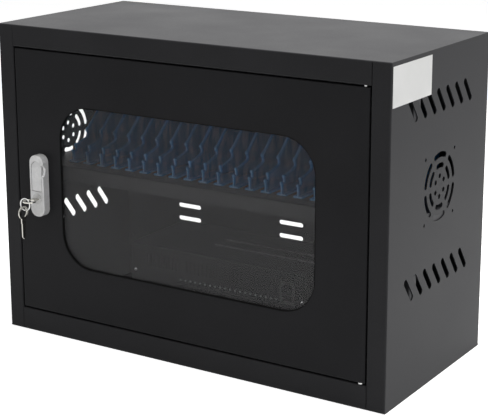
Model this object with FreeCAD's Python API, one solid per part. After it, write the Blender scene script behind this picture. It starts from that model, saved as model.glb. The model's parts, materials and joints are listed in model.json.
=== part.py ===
import FreeCAD, Part
import math
import os

# Device charging cabinet: a folded sheet steel box with an inset, windowed and lockable door,
# a shelf with upright dividers for tablets above, and a charger with sockets below.
# Millimetres. X runs to the right, Y to the back and Z up.
# Shapes are built with Y measured from the front face. put() then moves each one so that the
# origin lies at the centre of the base.

Vector = FreeCAD.Vector
X_AXIS = Vector(1, 0, 0)
Y_AXIS = Vector(0, 1, 0)
Z_AXIS = Vector(0, 0, 1)

# Cabinet shell
WIDTH = 590.0
DEPTH = 277.0
HEIGHT = 428.0
SHEET = 1.5
BEND = 2.0
LEFT_JAMB = 24.3
RIGHT_JAMB = 25.7
TOP_RAIL = 29.3
BOTTOM_RAIL = 31.5
REAR_FLANGE = 15.0
FIT = 0.6
RUNNING = 0.05
SLIDE = 0.3

# Fan grille and vent slots on both sides, placed from the front face and the base
FAN_Y = 136.8
FAN_Z = 253.9
FAN_HOLE_PITCH = 82.5
FAN_HOLE = 4.3
GRILLE_RINGS = ((23.3, 29.8), (36.6, 43.7))
GRILLE_SECTORS = 6
GRILLE_SPOKE = 7.0
GRILLE_DOT = 6.5
GRILLE_DOT_CIRCLE = 13.1
VENT_COUNT = 7
VENT_PITCH = 25.9
VENT_FIRST_Y = 46.0
VENT_LEAN = 22.2
VENT_RISE = 29.4
VENT_WIDTH = 8.7
VENT_LOWER_Z = 126.4
VENT_UPPER_FROM_TOP = 79.5

# Back panel: pairs of mounting slots, a lead entry and rivets
SLOT_PITCH_X = 177.5
SLOT_LOWER_Z = 106.3
SLOT_PITCH_Z = 20.0
SLOT_LENGTH = 40.0
SLOT_WIDTH = 6.5
ENTRY_FROM_SIDE = 235.0
ENTRY_Z = 48.0
ENTRY_BORE = 42.0
GROMMET_WALL = 5.0
GROMMET_LIP = 4.0
RIVET_SHANK = 3.2
RIVET_HEAD = 6.4
RIVET_HEAD_HEIGHT = 0.9
RIVETS_PER_SIDE = 4
RIVETS_PER_EDGE = 3

# Uprights and shelf
UPRIGHT_Y = 63.0
UPRIGHT_DEPTH = 17.0
UPRIGHT_FACE = 22.0
SHELF_TOP = 225.0
SHELF_LIP = 20.0
SHELF_REAR_LIP = 12.0
CABLE_GAP = 24.0
SHELF_STUD = 5.0
SHELF_STUD_LENGTH = 9.0
SHELF_STUD_DROP = 11.0
SHELF_STUD_FRONT = 25.0
SHELF_STUD_REAR = 30.0
NUT_FACTOR = 0.8

# Dividers
DIVIDER_PITCH = 24.4
DIVIDER_SIDE_MARGIN = 48.0
DIVIDER_WALL = 2.4
DIVIDER_EDGE = 4.2
DIVIDER_EDGE_DEPTH = 3.0
DIVIDER_EDGE_DROP = 1.2
DIVIDER_KNOB = 4.7
DIVIDER_KNOB_WIDTH = 5.2
DIVIDER_BULB = 6.6
DIVIDER_BULB_DROP = 2.4
DIVIDER_FOOT_WIDTH = 14.0
DIVIDER_FOOT = 2.6
DIVIDER_FRONT_Y = 85.0
DIVIDER_STEM = 17.0
DIVIDER_STEP_BACK = 5.8
DIVIDER_STEP_RISE = 8.0
DIVIDER_SADDLE_BACK = 33.4
DIVIDER_SADDLE_RISE = 7.0
DIVIDER_NECK = 11.0
DIVIDER_HEIGHT = 93.0
DIVIDER_TOP_DEPTH = 72.0
DIVIDER_REAR_GAP = 8.0
DIVIDER_ROUND = 16.0
PEG = 4.0
PEG_LENGTH = 5.0
PEG_INSET = 22.0

# Charger on the floor of the lower bay
CHARGER_WIDTH = 280.0
CHARGER_DEPTH = 126.0
CHARGER_HEIGHT = 125.5
CHARGER_SETBACK = 79.0
CASE_SHEET = 1.2
CASE_BEND = 1.6
CASE_TAB_WIDTH = 12.0
CASE_TAB_HEIGHT = 40.0
CASE_SCREW_INSET = 6.5
CASE_SCREW_DROP = 38.5
CASE_SCREW = 4.0
CASE_SCREW_HEAD = 6.0
CASE_SCREW_HEAD_HEIGHT = 2.4
LOUVRE_GROUPS = 3
LOUVRE_GROUP_PITCH = 63.0
LOUVRES_PER_GROUP = 8
LOUVRE_PITCH = 6.6
LOUVRE_WIDTH = 2.6
LOUVRE_LENGTH = 18.0
LOUVRE_DROP = 21.0
LOUVRE_CENTRE_X = -24.5
LAMP_COUNT = 20
LAMP_PITCH = 8.0
LAMP_WIDTH = 3.0
LAMP_DROP = 40.5
LAMP_CENTRE_X = 18.5
LAMP_STEM = 4.0
PORT_COLUMNS = 10
PORT_PITCH = 16.4
PORT_CENTRE_X = 46.2
PORT_ROWS_Y = (50.0, 77.0)
PORT_LONG = 13.4
PORT_SHORT = 6.0
PORT_WALL = 0.6
PORT_HEIGHT = 14.0
PORT_DEPTH = 9.5
PORT_PROUD = 0.6
TONGUE_LONG = 11.0
TONGUE_SHORT = 1.9
BOARD = 1.6
BOARD_MARGIN = 12.0
SPACER = 6.0
SUPPLY_SIZE = (210.0, 96.0, 48.0)
SUPPLY_ROUND = 2.0

# Rocker switch on the front of the charger
SWITCH_X = 111.5
SWITCH_DROP = 29.5
SWITCH_WIDTH = 22.0
SWITCH_HEIGHT = 30.0
SWITCH_RIM = 2.2
SWITCH_SLEEVE_WIDTH = 18.6
SWITCH_SLEEVE_HEIGHT = 27.6
SWITCH_SLEEVE_DEPTH = 14.0
SWITCH_MOUTH_WIDTH = 15.2
SWITCH_MOUTH_HEIGHT = 24.4
ROCKER_PIVOT_DEPTH = 4.0
ROCKER_FACE = 7.4
ROCKER_DIP = 1.7
ROCKER_BACK = 3.0
ROCKER_HALF_HEIGHT = 9.2
ROCKER_TRUNNION = 2.4
ROCKER_TILT = 8.0

# Power inlet on the back of the charger
INLET_X = -90.0
INLET_RISE = 78.0
INLET_FLANGE = (34.0, 27.0, 2.5)
INLET_BODY = (27.4, 20.4, 19.0)
INLET_RECESS = (24.6, 16.8, 16.0)
INLET_PIN = (2.0, 4.0, 11.0)
INLET_PIN_PITCH = 14.0
INLET_EARTH_RISE = 4.0

# Blank label on the right side
LABEL_FRONT_Y = 3.5
LABEL_LENGTH = 102.0
LABEL_HEIGHT = 48.5
LABEL_FROM_TOP = 5.3
LABEL_FILM = 0.2

# Door
DOOR_GAP = 1.8
DOOR_DEPTH = 18.0
WINDOW_LATCH_MARGIN = 72.9
WINDOW_HINGE_MARGIN = 70.2
WINDOW_TOP_MARGIN = 69.5
WINDOW_BOTTOM_MARGIN = 70.7
WINDOW_CORNER = 48.0
GASKET = 1.0
GASKET_LIP = 1.2
GASKET_LIP_INSET = 0.2
PANE = 3.0
PANE_LAP = 14.0
CLIP_WIDTH = 14.0
CLIP_LAP = 9.0
CLIP_FOOT = 13.0
CLIP_SHEET = 1.5
CLIP_STUD = 4.0
CLIP_STUD_LENGTH = 7.0
CLIP_SPREAD_X = 110.0
CLIP_SPREAD_Z = 55.0

# Hinge pins, one at each end of the door's right edge
HINGE_FROM_EDGE = 7.6
HINGE_FROM_FACE = 5.0
HINGE_PIN = 5.0
HINGE_PIN_REACH = 4.0
HINGE_BLOCK = 14.0
HINGE_BLOCK_SIDE = 10.5
HINGE_COLLAR = 8.0

# Lock with a tilting pull and a keyed cam
LOCK_FROM_EDGE = 40.4
LOCK_WIDTH = 23.4
LOCK_HEIGHT = 85.0
LOCK_PROUD = 11.5
LOCK_DROP = 1.35
LOCK_EDGE = 0.9
LOCK_END = 0.46
LOCK_BARREL = 18.0
LOCK_BARREL_LENGTH = 15.0
LOCK_NUT_ACROSS = 27.0
LOCK_NUT_HEIGHT = 6.0
PLUG = 11.0
PLUG_RIM = 15.0
PLUG_RIM_HEIGHT = 0.6
PLUG_FROM_FOOT = 25.0
PULL_WIDTH = 16.6
PULL_THICKNESS = 3.6
PULL_EDGE = 0.7
PULL_TOP_FROM_HEAD = 9.0
PULL_LENGTH = 40.5
PULL_PAD = 8.3
PULL_PAD_DEPTH = 1.0
PULL_PIVOT_FROM_FOOT = 5.0
PULL_PIVOT_DEPTH = 2.5
PULL_PIN = 3.0
PULL_PIN_COVER = 1.5
PULL_POCKET_GAP = 0.6
SCOOP = 9.9
SCOOP_FROM_TOP = 12.0
SCOOP_PROUD = 4.3
SCOOP_OUT = 2.0
CAM_WIDTH = 16.0
CAM_REACH = 50.0
CAM_SHEET = 2.5
CAM_CLEARANCE = 1.0
CAM_SCREW_HEAD = 9.0
CAM_SCREW_HEAD_HEIGHT = 3.0
CAM_SCREW = 4.0
CAM_SCREW_LENGTH = 8.0

# Keys and their ring
KEY_SHEET = 1.8
KEY_BLADE_WIDTH = 6.4
KEY_BLADE_LENGTH = 22.0
KEY_NECK_WIDTH = 8.0
KEY_NECK_LENGTH = 6.0
KEY_BOW = 18.0
KEY_BOW_HOLE = 13.4
KEY_BIT_WIDTH = 2.4
KEY_BITS = ((6.0, 1.2), (9.5, 0.8), (13.0, 1.5), (16.5, 1.0))
KEY_CLEARANCE = 0.15
RING_WIRE = 1.6
RING_MEAN = 16.0
RING_HANG_ANGLE = 30.0

# Places that follow from the sizes above
HALF = WIDTH / 2
FRAME_RETURN = DOOR_DEPTH + 0.4
OPENING_LEFT = -HALF + LEFT_JAMB
OPENING_RIGHT = HALF - RIGHT_JAMB
OPENING_TOP = HEIGHT - TOP_RAIL
DOOR_LEFT = OPENING_LEFT + DOOR_GAP
DOOR_RIGHT = OPENING_RIGHT - DOOR_GAP
DOOR_BOTTOM = BOTTOM_RAIL + DOOR_GAP
DOOR_TOP = OPENING_TOP - DOOR_GAP
WINDOW_LEFT = DOOR_LEFT + WINDOW_LATCH_MARGIN
WINDOW_RIGHT = DOOR_RIGHT - WINDOW_HINGE_MARGIN
WINDOW_BOTTOM = DOOR_BOTTOM + WINDOW_BOTTOM_MARGIN
WINDOW_TOP = DOOR_TOP - WINDOW_TOP_MARGIN
HINGE_X = DOOR_RIGHT - HINGE_FROM_EDGE
LOCK_X = DOOR_LEFT + LOCK_FROM_EDGE
LOCK_Z = (DOOR_BOTTOM + DOOR_TOP) / 2 - LOCK_DROP
LOCK_FOOT = LOCK_Z - LOCK_HEIGHT / 2
LOCK_HEAD = LOCK_Z + LOCK_HEIGHT / 2
PLUG_Z = LOCK_FOOT + PLUG_FROM_FOOT
PULL_TOP = LOCK_HEAD - PULL_TOP_FROM_HEAD
PULL_FOOT = PULL_TOP - PULL_LENGTH
CAM_Y = DOOR_DEPTH + CAM_CLEARANCE
BACK_Y = DEPTH - 2 * SHEET
SHELF_FRONT = UPRIGHT_Y - SHEET
SHELF_BACK = BACK_Y - CABLE_GAP
CASE_TOP = SHEET + CHARGER_HEIGHT
CASE_LEFT = -CHARGER_WIDTH / 2
CASE_RIGHT = CHARGER_WIDTH / 2
CASE_BACK = CHARGER_SETBACK + CHARGER_DEPTH


def put(name, *solids):
    """Move a piece so that the origin is at the centre of the base, and write its STEP file."""
    shape = solids[0] if len(solids) == 1 else Part.makeCompound(list(solids))
    shape = shape.copy()
    shape.translate(Vector(0, -DEPTH / 2, 0))
    shape.exportStep("parts/" + name + ".step")


def box(x0, x1, y0, y1, z0, z1):
    """Block between two corners."""
    return Part.makeBox(x1 - x0, y1 - y0, z1 - z0, Vector(x0, y0, z0))


def rod(diameter, start, direction, length):
    """Round bar of a given diameter."""
    return Part.makeCylinder(diameter / 2, length, start, direction)


def join(*solids):
    """One solid made of touching solids."""
    whole = solids[0].multiFuse(list(solids[1:]))
    return whole.removeSplitter()


def corner_arc(before, corner, after, radius):
    """Tangent points and middle of the arc that rounds a corner of a flat outline."""
    way_in = (corner - before).normalize()
    way_out = (after - corner).normalize()
    turn = way_in.getAngle(way_out)
    if radius <= 0 or turn < 1e-6:
        return corner, corner, corner
    reach = radius * math.tan(turn / 2)
    start = corner - way_in * reach
    end = corner + way_out * reach
    inward = (way_out - way_in).normalize()
    centre = corner + inward * (radius / math.cos(turn / 2))
    return start, centre - inward * radius, end


def outline(corners, radii):
    """Closed wire through flat corners, each rounded to its own radius."""
    count = len(corners)
    arcs = [corner_arc(corners[i - 1], corners[i], corners[(i + 1) % count], radii[i]) for i in range(count)]
    edges = []
    for i in range(count):
        start, middle, end = arcs[i]
        following = arcs[(i + 1) % count][0]
        if (end - start).Length > 1e-6:
            edges.append(Part.Arc(start, middle, end).toShape())
        if (following - end).Length > 1e-6:
            edges.append(Part.LineSegment(end, following).toShape())
    return Part.Wire(edges)


def lift(points, axis, level):
    """Points of a flat drawing as space points, on the plane across an axis at a level."""
    if axis == X_AXIS:
        return [Vector(level, u, v) for u, v in points]
    if axis == Y_AXIS:
        return [Vector(u, level, v) for u, v in points]
    return [Vector(u, v, level) for u, v in points]


def prism(points, radii, axis, level, length):
    """Solid of a flat outline drawn across an axis and carried along it."""
    sizes = radii if isinstance(radii, (list, tuple)) else [radii] * len(points)
    return Part.Face(outline(lift(points, axis, level), sizes)).extrude(axis * length)


def rectangle(u0, u1, v0, v1):
    """Corners of a rectangle on a flat drawing."""
    return [(u0, v0), (u1, v0), (u1, v1), (u0, v1)]


def folded(path, axis, level, length, thickness=SHEET, bend=BEND):
    """Sheet that follows the outer corners of a path, with round folds and the metal on the inside."""
    steps = [Vector(b[0] - a[0], b[1] - a[1], 0).normalize() for a, b in zip(path, path[1:])]
    side = math.copysign(1.0, steps[0].cross(steps[1]).z)
    normals = [Vector(-s.y, s.x, 0) * side * thickness for s in steps]
    shifts = [normals[0]] + [a + b for a, b in zip(normals, normals[1:])] + [normals[-1]]
    inner = [(p[0] + s.x, p[1] + s.y) for p, s in zip(path, shifts)]
    folds = len(path) - 2
    radii = [0] + [bend] * folds + [0, 0] + [bend - thickness] * folds + [0]
    return prism(list(path) + inner[::-1], radii, axis, level, length)


def slot(u, v, length, width, axis, level, depth):
    """Round ended slot whose long side lies along the first direction of its drawing."""
    flat = rectangle(u - length / 2, u + length / 2, v - width / 2, v + width / 2)
    return prism(flat, width / 2 * 0.999, axis, level, depth)


def hexagon(across, start, direction, height, hole):
    """Hexagon nut, bored for its thread."""
    ring = Part.makePolygon([Vector(across / math.sqrt(3) * math.cos(i * math.pi / 3),
                                    across / math.sqrt(3) * math.sin(i * math.pi / 3), 0) for i in range(7)])
    nut = Part.Face(ring).extrude(Z_AXIS * height)
    nut = nut.cut(rod(hole, Vector(0, 0, 0), Z_AXIS, height))
    nut.Placement = FreeCAD.Placement(start, FreeCAD.Rotation(Z_AXIS, direction))
    return nut


# Side panels

def vent_cutters(wall_x):
    """Fan grille, fan screw holes and slanted vents, as prisms through one side wall."""
    level = wall_x - 2 * SHEET
    depth = 4 * SHEET
    cutters = []
    for inner, outer in GRILLE_RINGS:
        cutters += [ring_slot(inner, outer, i, level, depth) for i in range(GRILLE_SECTORS)]
    for i in range(GRILLE_SECTORS):
        angle = math.radians((i + 0.5) * 360 / GRILLE_SECTORS)
        place = (FAN_Y + GRILLE_DOT_CIRCLE * math.cos(angle), FAN_Z + GRILLE_DOT_CIRCLE * math.sin(angle))
        cutters.append(rod(GRILLE_DOT, Vector(level, *place), X_AXIS, depth))
    for sign_y in (-1, 1):
        for sign_z in (-1, 1):
            place = (FAN_Y + sign_y * FAN_HOLE_PITCH / 2, FAN_Z + sign_z * FAN_HOLE_PITCH / 2)
            cutters.append(rod(FAN_HOLE, Vector(level, *place), X_AXIS, depth))
    for base_z in (VENT_LOWER_Z, HEIGHT - VENT_UPPER_FROM_TOP):
        cutters += [slanted_vent(VENT_FIRST_Y + i * VENT_PITCH, base_z, level, depth)
                    for i in range(VENT_COUNT)]
    return cutters


def ring_slot(inner, outer, sector, level, depth):
    """One round ended arc slot of the fan grille."""
    middle = (inner + outer) / 2
    half_width = (outer - inner) / 2
    centre = math.radians((sector + 0.5) * 360 / GRILLE_SECTORS)
    reach = math.pi / GRILLE_SECTORS - (GRILLE_SPOKE / 2 + half_width) / middle

    def at(radius, angle):
        return Vector(level, FAN_Y + radius * math.cos(angle), FAN_Z + radius * math.sin(angle))

    def cap(angle, sense):
        return at(middle, angle + sense * half_width / middle)

    low = centre - reach
    high = centre + reach
    edges = [Part.Arc(at(outer, low), at(outer, centre), at(outer, high)).toShape(),
             Part.Arc(at(outer, high), cap(high, 1), at(inner, high)).toShape(),
             Part.Arc(at(inner, high), at(inner, centre), at(inner, low)).toShape(),
             Part.Arc(at(inner, low), cap(low, -1), at(outer, low)).toShape()]
    return Part.Face(Part.Wire(edges)).extrude(X_AXIS * depth)


def slanted_vent(top_y, base_z, level, depth):
    """One slanted vent: its top end leans to the front."""
    run = math.hypot(VENT_LEAN, VENT_RISE)
    vent = slot(0, 0, run, VENT_WIDTH, X_AXIS, 0, depth)
    slope = math.degrees(math.atan2(VENT_RISE, -VENT_LEAN))
    vent.rotate(Vector(0, 0, 0), X_AXIS, slope)
    vent.translate(Vector(level, top_y + VENT_LEAN / 2, base_z + VENT_RISE / 2))
    return vent


def shelf_studs():
    """Places of the studs that hold the shelf's side lips, as Y and Z."""
    front = UPRIGHT_Y + UPRIGHT_DEPTH + SHELF_STUD_FRONT
    rear = SHELF_BACK - SHELF_STUD_REAR
    return [(front, SHELF_TOP - SHELF_STUD_DROP), (rear, SHELF_TOP - SHELF_STUD_DROP)]


def rivet_places():
    """Rivets round the back panel, as X and Z."""
    side_x = HALF - REAR_FLANGE / 2
    edge_z = REAR_FLANGE / 2
    rise = (HEIGHT - 2 * REAR_FLANGE) / RIVETS_PER_SIDE
    run = (WIDTH - 2 * REAR_FLANGE) / RIVETS_PER_EDGE
    sides = [(s * side_x, REAR_FLANGE + (i + 0.5) * rise) for s in (-1, 1) for i in range(RIVETS_PER_SIDE)]
    edges = [(-HALF + REAR_FLANGE + (i + 0.5) * run, z)
             for z in (edge_z, HEIGHT - edge_z) for i in range(RIVETS_PER_EDGE)]
    return sides + edges


def rivet_holes():
    """Clearance holes for every rivet, through flanges and back panel."""
    return [rod(RIVET_SHANK + 2 * RUNNING, Vector(x, BACK_Y - 1, z), Y_AXIS, 2 * SHEET + 2)
            for x, z in rivet_places()]


def side_panel(sign, jamb_edge):
    """Side wall folded into the front jamb, its return and the rear flange."""
    wall = sign * HALF
    path = [(wall - sign * REAR_FLANGE, DEPTH), (wall, DEPTH), (wall, 0), (jamb_edge, 0),
            (jamb_edge, FRAME_RETURN)]
    panel = folded(path, Z_AXIS, SHEET, HEIGHT - 2 * SHEET)
    panel = panel.cut(vent_cutters(wall) + rivet_holes())
    inner = wall - sign * SHEET
    studs = [rod(SHELF_STUD, Vector(inner, y, z), X_AXIS * -sign, SHELF_STUD_LENGTH)
             for y, z in shelf_studs()]
    return join(panel, *studs)


# Top, bottom and back panels

def cross_panel(level, inward, rail_edge):
    """Top or bottom wall folded into its front rail, the rail's return and the rear flange."""
    path = [(DEPTH, level + inward * REAR_FLANGE), (DEPTH, level), (0, level), (0, rail_edge),
            (FRAME_RETURN, rail_edge)]
    panel = folded(path, X_AXIS, -HALF, WIDTH)
    low, high = sorted((level + inward * SHEET, level + inward * HEIGHT / 2))
    trims = [box(-HALF - 1, OPENING_LEFT, -1, FRAME_RETURN + 1, low, high),
             box(OPENING_RIGHT, HALF + 1, -1, FRAME_RETURN + 1, low, high),
             box(-HALF - 1, -HALF + REAR_FLANGE, DEPTH - 2 * BEND, DEPTH + 1, low, high),
             box(HALF - REAR_FLANGE, HALF + 1, DEPTH - 2 * BEND, DEPTH + 1, low, high)]
    pivot = rod(HINGE_PIN + 2 * RUNNING, Vector(HINGE_X, HINGE_FROM_FACE, rail_edge - 2 * SHEET), Z_AXIS,
                4 * SHEET)
    return panel.cut(trims + [pivot] + rivet_holes())


def back_panel():
    """Flat back that sits inside the rear flanges."""
    sheet = box(-HALF + SHEET + FIT, HALF - SHEET - FIT, BACK_Y, BACK_Y + SHEET, SHEET + FIT,
                HEIGHT - SHEET - FIT)
    slots = [slot(column * SLOT_PITCH_X, SLOT_LOWER_Z + row * SLOT_PITCH_Z, SLOT_LENGTH, SLOT_WIDTH,
                  Y_AXIS, BACK_Y - 1, SHEET + 2) for column in (-1, 0, 1) for row in (0, 1)]
    entry = rod(ENTRY_BORE + 2 * GROMMET_WALL, Vector(HALF - ENTRY_FROM_SIDE, BACK_Y - 1, ENTRY_Z), Y_AXIS,
                SHEET + 2)
    return sheet.cut(slots + [entry] + rivet_holes())


def back_rivets():
    """Rivets with a low head outside and a set tail inside."""
    rivets = []
    for x, z in rivet_places():
        head = rod(RIVET_HEAD, Vector(x, DEPTH, z), Y_AXIS, RIVET_HEAD_HEIGHT)
        shank = rod(RIVET_SHANK, Vector(x, BACK_Y - 1, z), Y_AXIS, 2 * SHEET + 1)
        tail = rod(RIVET_HEAD * 0.8, Vector(x, BACK_Y - 1.2, z), Y_AXIS, 1.2)
        rivets.append(join(shank, head, tail))
    return rivets


def cable_grommet():
    """Rubber ring that lines the lead entry and grips both faces of the back panel."""
    place = Vector(HALF - ENTRY_FROM_SIDE, BACK_Y - 2, ENTRY_Z)
    hole = ENTRY_BORE + 2 * GROMMET_WALL
    lip = hole + 2 * GROMMET_LIP
    inner = rod(lip, place, Y_AXIS, 2)
    neck = rod(hole, place, Y_AXIS, 2 + SHEET)
    outer = rod(lip, place + Y_AXIS * (2 + SHEET), Y_AXIS, SHEET)
    return join(inner, neck, outer).cut(rod(ENTRY_BORE, place - Y_AXIS, Y_AXIS, 3 * SHEET + 4))


# Uprights, shelf and dividers

def upright(sign):
    """Angle inside a side wall that carries the shelf's front lip."""
    wall = sign * (HALF - SHEET)
    path = [(wall - sign * UPRIGHT_FACE, UPRIGHT_Y), (wall, UPRIGHT_Y), (wall, UPRIGHT_Y + UPRIGHT_DEPTH)]
    return folded(path, Z_AXIS, SHEET, HEIGHT - 2 * SHEET)


def divider_places():
    """X of each divider: as many as fit between the side margins, set evenly about the middle."""
    count = int((WIDTH - 2 * DIVIDER_SIDE_MARGIN) // DIVIDER_PITCH) + 1
    return [(i - (count - 1) / 2) * DIVIDER_PITCH for i in range(count)]


def peg_rows():
    """Y of the two pegs under each divider."""
    return (DIVIDER_FRONT_Y + PEG_INSET, SHELF_BACK - DIVIDER_REAR_GAP - PEG_INSET)


def device_shelf():
    """Shelf with a front lip before the uprights, a rear lip and a lip on each side wall."""
    wall = HALF - SHEET
    path = [(SHELF_FRONT, SHELF_TOP - SHELF_LIP), (SHELF_FRONT, SHELF_TOP), (SHELF_BACK, SHELF_TOP),
            (SHELF_BACK, SHELF_TOP - SHELF_REAR_LIP)]
    plate = folded(path, X_AXIS, -wall, 2 * wall)
    lip_front = UPRIGHT_Y + UPRIGHT_DEPTH + FIT
    lips = []
    for sign in (-1, 1):
        notch_end = wall - UPRIGHT_FACE - FIT
        low, high = sorted((sign * notch_end, sign * (wall + 1)))
        plate = plate.cut(box(low, high, UPRIGHT_Y, lip_front, 0, HEIGHT))
        low, high = sorted((sign * wall, sign * (wall - SHEET)))
        lips.append(box(low, high, lip_front, SHELF_BACK - BEND, SHELF_TOP - SHELF_LIP, SHELF_TOP))
    shelf = join(plate, *lips)
    holes = [rod(PEG + 2 * RUNNING, Vector(x, y, SHELF_TOP - 2 * SHEET), Z_AXIS, 4 * SHEET)
             for x in divider_places() for y in peg_rows()]
    for y, z in shelf_studs():
        holes.append(rod(SHELF_STUD + 2 * SLIDE, Vector(-HALF, y, z), X_AXIS, WIDTH))
    return shelf.cut(holes)


def shelf_nuts():
    """Nuts on the studs, drawn up against the shelf's side lips."""
    across = SHELF_STUD * 1.6
    return [hexagon(across, Vector(sign * (HALF - 2 * SHEET), y, z), X_AXIS * -sign, SHELF_STUD * NUT_FACTOR,
                    SHELF_STUD + 2 * RUNNING) for sign in (-1, 1) for y, z in shelf_studs()]


def divider_nose():
    """Front edge of a divider, as Y and Z upwards: a stem, a step, a saddle, a neck and the crest."""
    front = DIVIDER_FRONT_Y
    step_y = front + DIVIDER_STEP_BACK
    saddle_y = front + DIVIDER_SADDLE_BACK
    stem_z = SHELF_TOP + DIVIDER_STEM
    step_z = stem_z + DIVIDER_STEP_RISE
    saddle_z = step_z + DIVIDER_SADDLE_RISE
    crest = (SHELF_BACK - DIVIDER_REAR_GAP - DIVIDER_TOP_DEPTH, SHELF_TOP + DIVIDER_HEIGHT)
    return [(front, SHELF_TOP), (front, stem_z), (step_y, stem_z), (step_y, step_z), (saddle_y, saddle_z),
            (saddle_y, saddle_z + DIVIDER_NECK), crest]


def divider(x):
    """Upright plate on a long foot, with a beaded front edge and a knob at each of its turns."""
    nose = divider_nose()
    foot_z = SHELF_TOP
    front = DIVIDER_FRONT_Y
    rear = SHELF_BACK - DIVIDER_REAR_GAP
    top_z = foot_z + DIVIDER_HEIGHT
    profile = nose + [(rear, top_z), (rear, foot_z)]
    turns = [0, 1, 1, 2, 3, 4]
    profile_turns = turns + [DIVIDER_ROUND, DIVIDER_ROUND, 0]
    plate = prism(profile, profile_turns, X_AXIS, x - DIVIDER_WALL / 2, DIVIDER_WALL)
    inset = [(u + DIVIDER_EDGE_DEPTH, v - DIVIDER_EDGE_DROP) for u, v in nose]
    inset[0] = (front + DIVIDER_EDGE_DEPTH, foot_z)
    inset[-1] = (nose[-1][0] + DIVIDER_EDGE_DEPTH, top_z - DIVIDER_EDGE_DEPTH)
    edge = prism(nose + inset[::-1], turns + [0, 0] + turns[:0:-1] + [0], X_AXIS, x - DIVIDER_EDGE / 2,
                 DIVIDER_EDGE)
    edge = edge.common(prism(profile, profile_turns, X_AXIS, x - DIVIDER_EDGE, 2 * DIVIDER_EDGE))
    foot = box(x - DIVIDER_FOOT_WIDTH / 2, x + DIVIDER_FOOT_WIDTH / 2, front, rear, foot_z,
               foot_z + DIVIDER_FOOT)
    neck_y, neck_z = nose[-2]
    places = [(nose[1], DIVIDER_KNOB), (nose[3], DIVIDER_KNOB),
              ((neck_y, neck_z - DIVIDER_BULB_DROP), DIVIDER_BULB)]
    knobs = [rod(size, Vector(x - DIVIDER_KNOB_WIDTH / 2, *place), X_AXIS, DIVIDER_KNOB_WIDTH)
             for place, size in places]
    pegs = [rod(PEG, Vector(x, y, foot_z - PEG_LENGTH), Z_AXIS, PEG_LENGTH + DIVIDER_FOOT)
            for y in peg_rows()]
    return join(plate, edge, foot, *knobs, *pegs)


# Charger

def charger_tray():
    """Floor, front and rear walls of the charger, with its louvres and openings."""
    rim = CASE_TOP - CASE_SHEET - SLIDE
    inset = CASE_SHEET + SLIDE
    path = [(CHARGER_SETBACK, rim), (CHARGER_SETBACK, SHEET), (CASE_BACK, SHEET), (CASE_BACK, rim)]
    tray = folded(path, X_AXIS, CASE_LEFT + inset, CHARGER_WIDTH - 2 * inset, CASE_SHEET, CASE_BEND)
    front = CHARGER_SETBACK - 1
    depth = CASE_SHEET + 2
    cutters = []
    for x in louvre_places():
        z = CASE_TOP - LOUVRE_DROP
        cutters.append(prism(rectangle(x - LOUVRE_WIDTH / 2, x + LOUVRE_WIDTH / 2, z - LOUVRE_LENGTH / 2,
                                       z + LOUVRE_LENGTH / 2), LOUVRE_WIDTH * 0.499, Y_AXIS, front, depth))
    cutters += [rod(LAMP_WIDTH + 2 * RUNNING, Vector(x, front, CASE_TOP - LAMP_DROP), Y_AXIS, depth)
                for x in lamp_places()]
    cutters += [rod(CASE_SCREW + 2 * SLIDE, Vector(x, front, CASE_TOP - CASE_SCREW_DROP), Y_AXIS, depth)
                for x in case_screw_places()]
    switch_z = CASE_TOP - SWITCH_DROP
    cutters.append(box(SWITCH_X - SWITCH_SLEEVE_WIDTH / 2 - 0.2, SWITCH_X + SWITCH_SLEEVE_WIDTH / 2 + 0.2,
                       front, front + depth, switch_z - SWITCH_SLEEVE_HEIGHT / 2 - 0.2,
                       switch_z + SWITCH_SLEEVE_HEIGHT / 2 + 0.2))
    inlet_z = SHEET + INLET_RISE
    cutters.append(box(INLET_X - INLET_BODY[0] / 2 - 0.2, INLET_X + INLET_BODY[0] / 2 + 0.2,
                       CASE_BACK - depth, CASE_BACK + 1, inlet_z - INLET_BODY[1] / 2 - 0.2,
                       inlet_z + INLET_BODY[1] / 2 + 0.2))
    return tray.cut(cutters)


def louvre_places():
    """X of each louvre, in groups across the charger's front."""
    groups = [LOUVRE_CENTRE_X + (i - (LOUVRE_GROUPS - 1) / 2) * LOUVRE_GROUP_PITCH
              for i in range(LOUVRE_GROUPS)]
    offsets = [(i - (LOUVRES_PER_GROUP - 1) / 2) * LOUVRE_PITCH for i in range(LOUVRES_PER_GROUP)]
    return [group + offset for group in groups for offset in offsets]


def lamp_places():
    """X of each charge lamp."""
    return [LAMP_CENTRE_X + (i - (LAMP_COUNT - 1) / 2) * LAMP_PITCH for i in range(LAMP_COUNT)]


def case_screw_places():
    """X of the two screws on the charger's front."""
    return (CASE_LEFT + CASE_SCREW_INSET, CASE_RIGHT - CASE_SCREW_INSET)


def port_places():
    """X and Y of every charging socket."""
    return [(PORT_CENTRE_X + (i - (PORT_COLUMNS - 1) / 2) * PORT_PITCH, CHARGER_SETBACK + row)
            for row in PORT_ROWS_Y for i in range(PORT_COLUMNS)]


def board_edges():
    """Left, right, front and rear edges of the socket board."""
    places = port_places()
    across = [x for x, y in places]
    along = [y for x, y in places]
    return (min(across) - BOARD_MARGIN, max(across) + BOARD_MARGIN, min(along) - BOARD_MARGIN,
            max(along) + BOARD_MARGIN)


def board_top():
    """Height of the socket board's upper face."""
    return CASE_TOP + PORT_PROUD - PORT_HEIGHT


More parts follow.
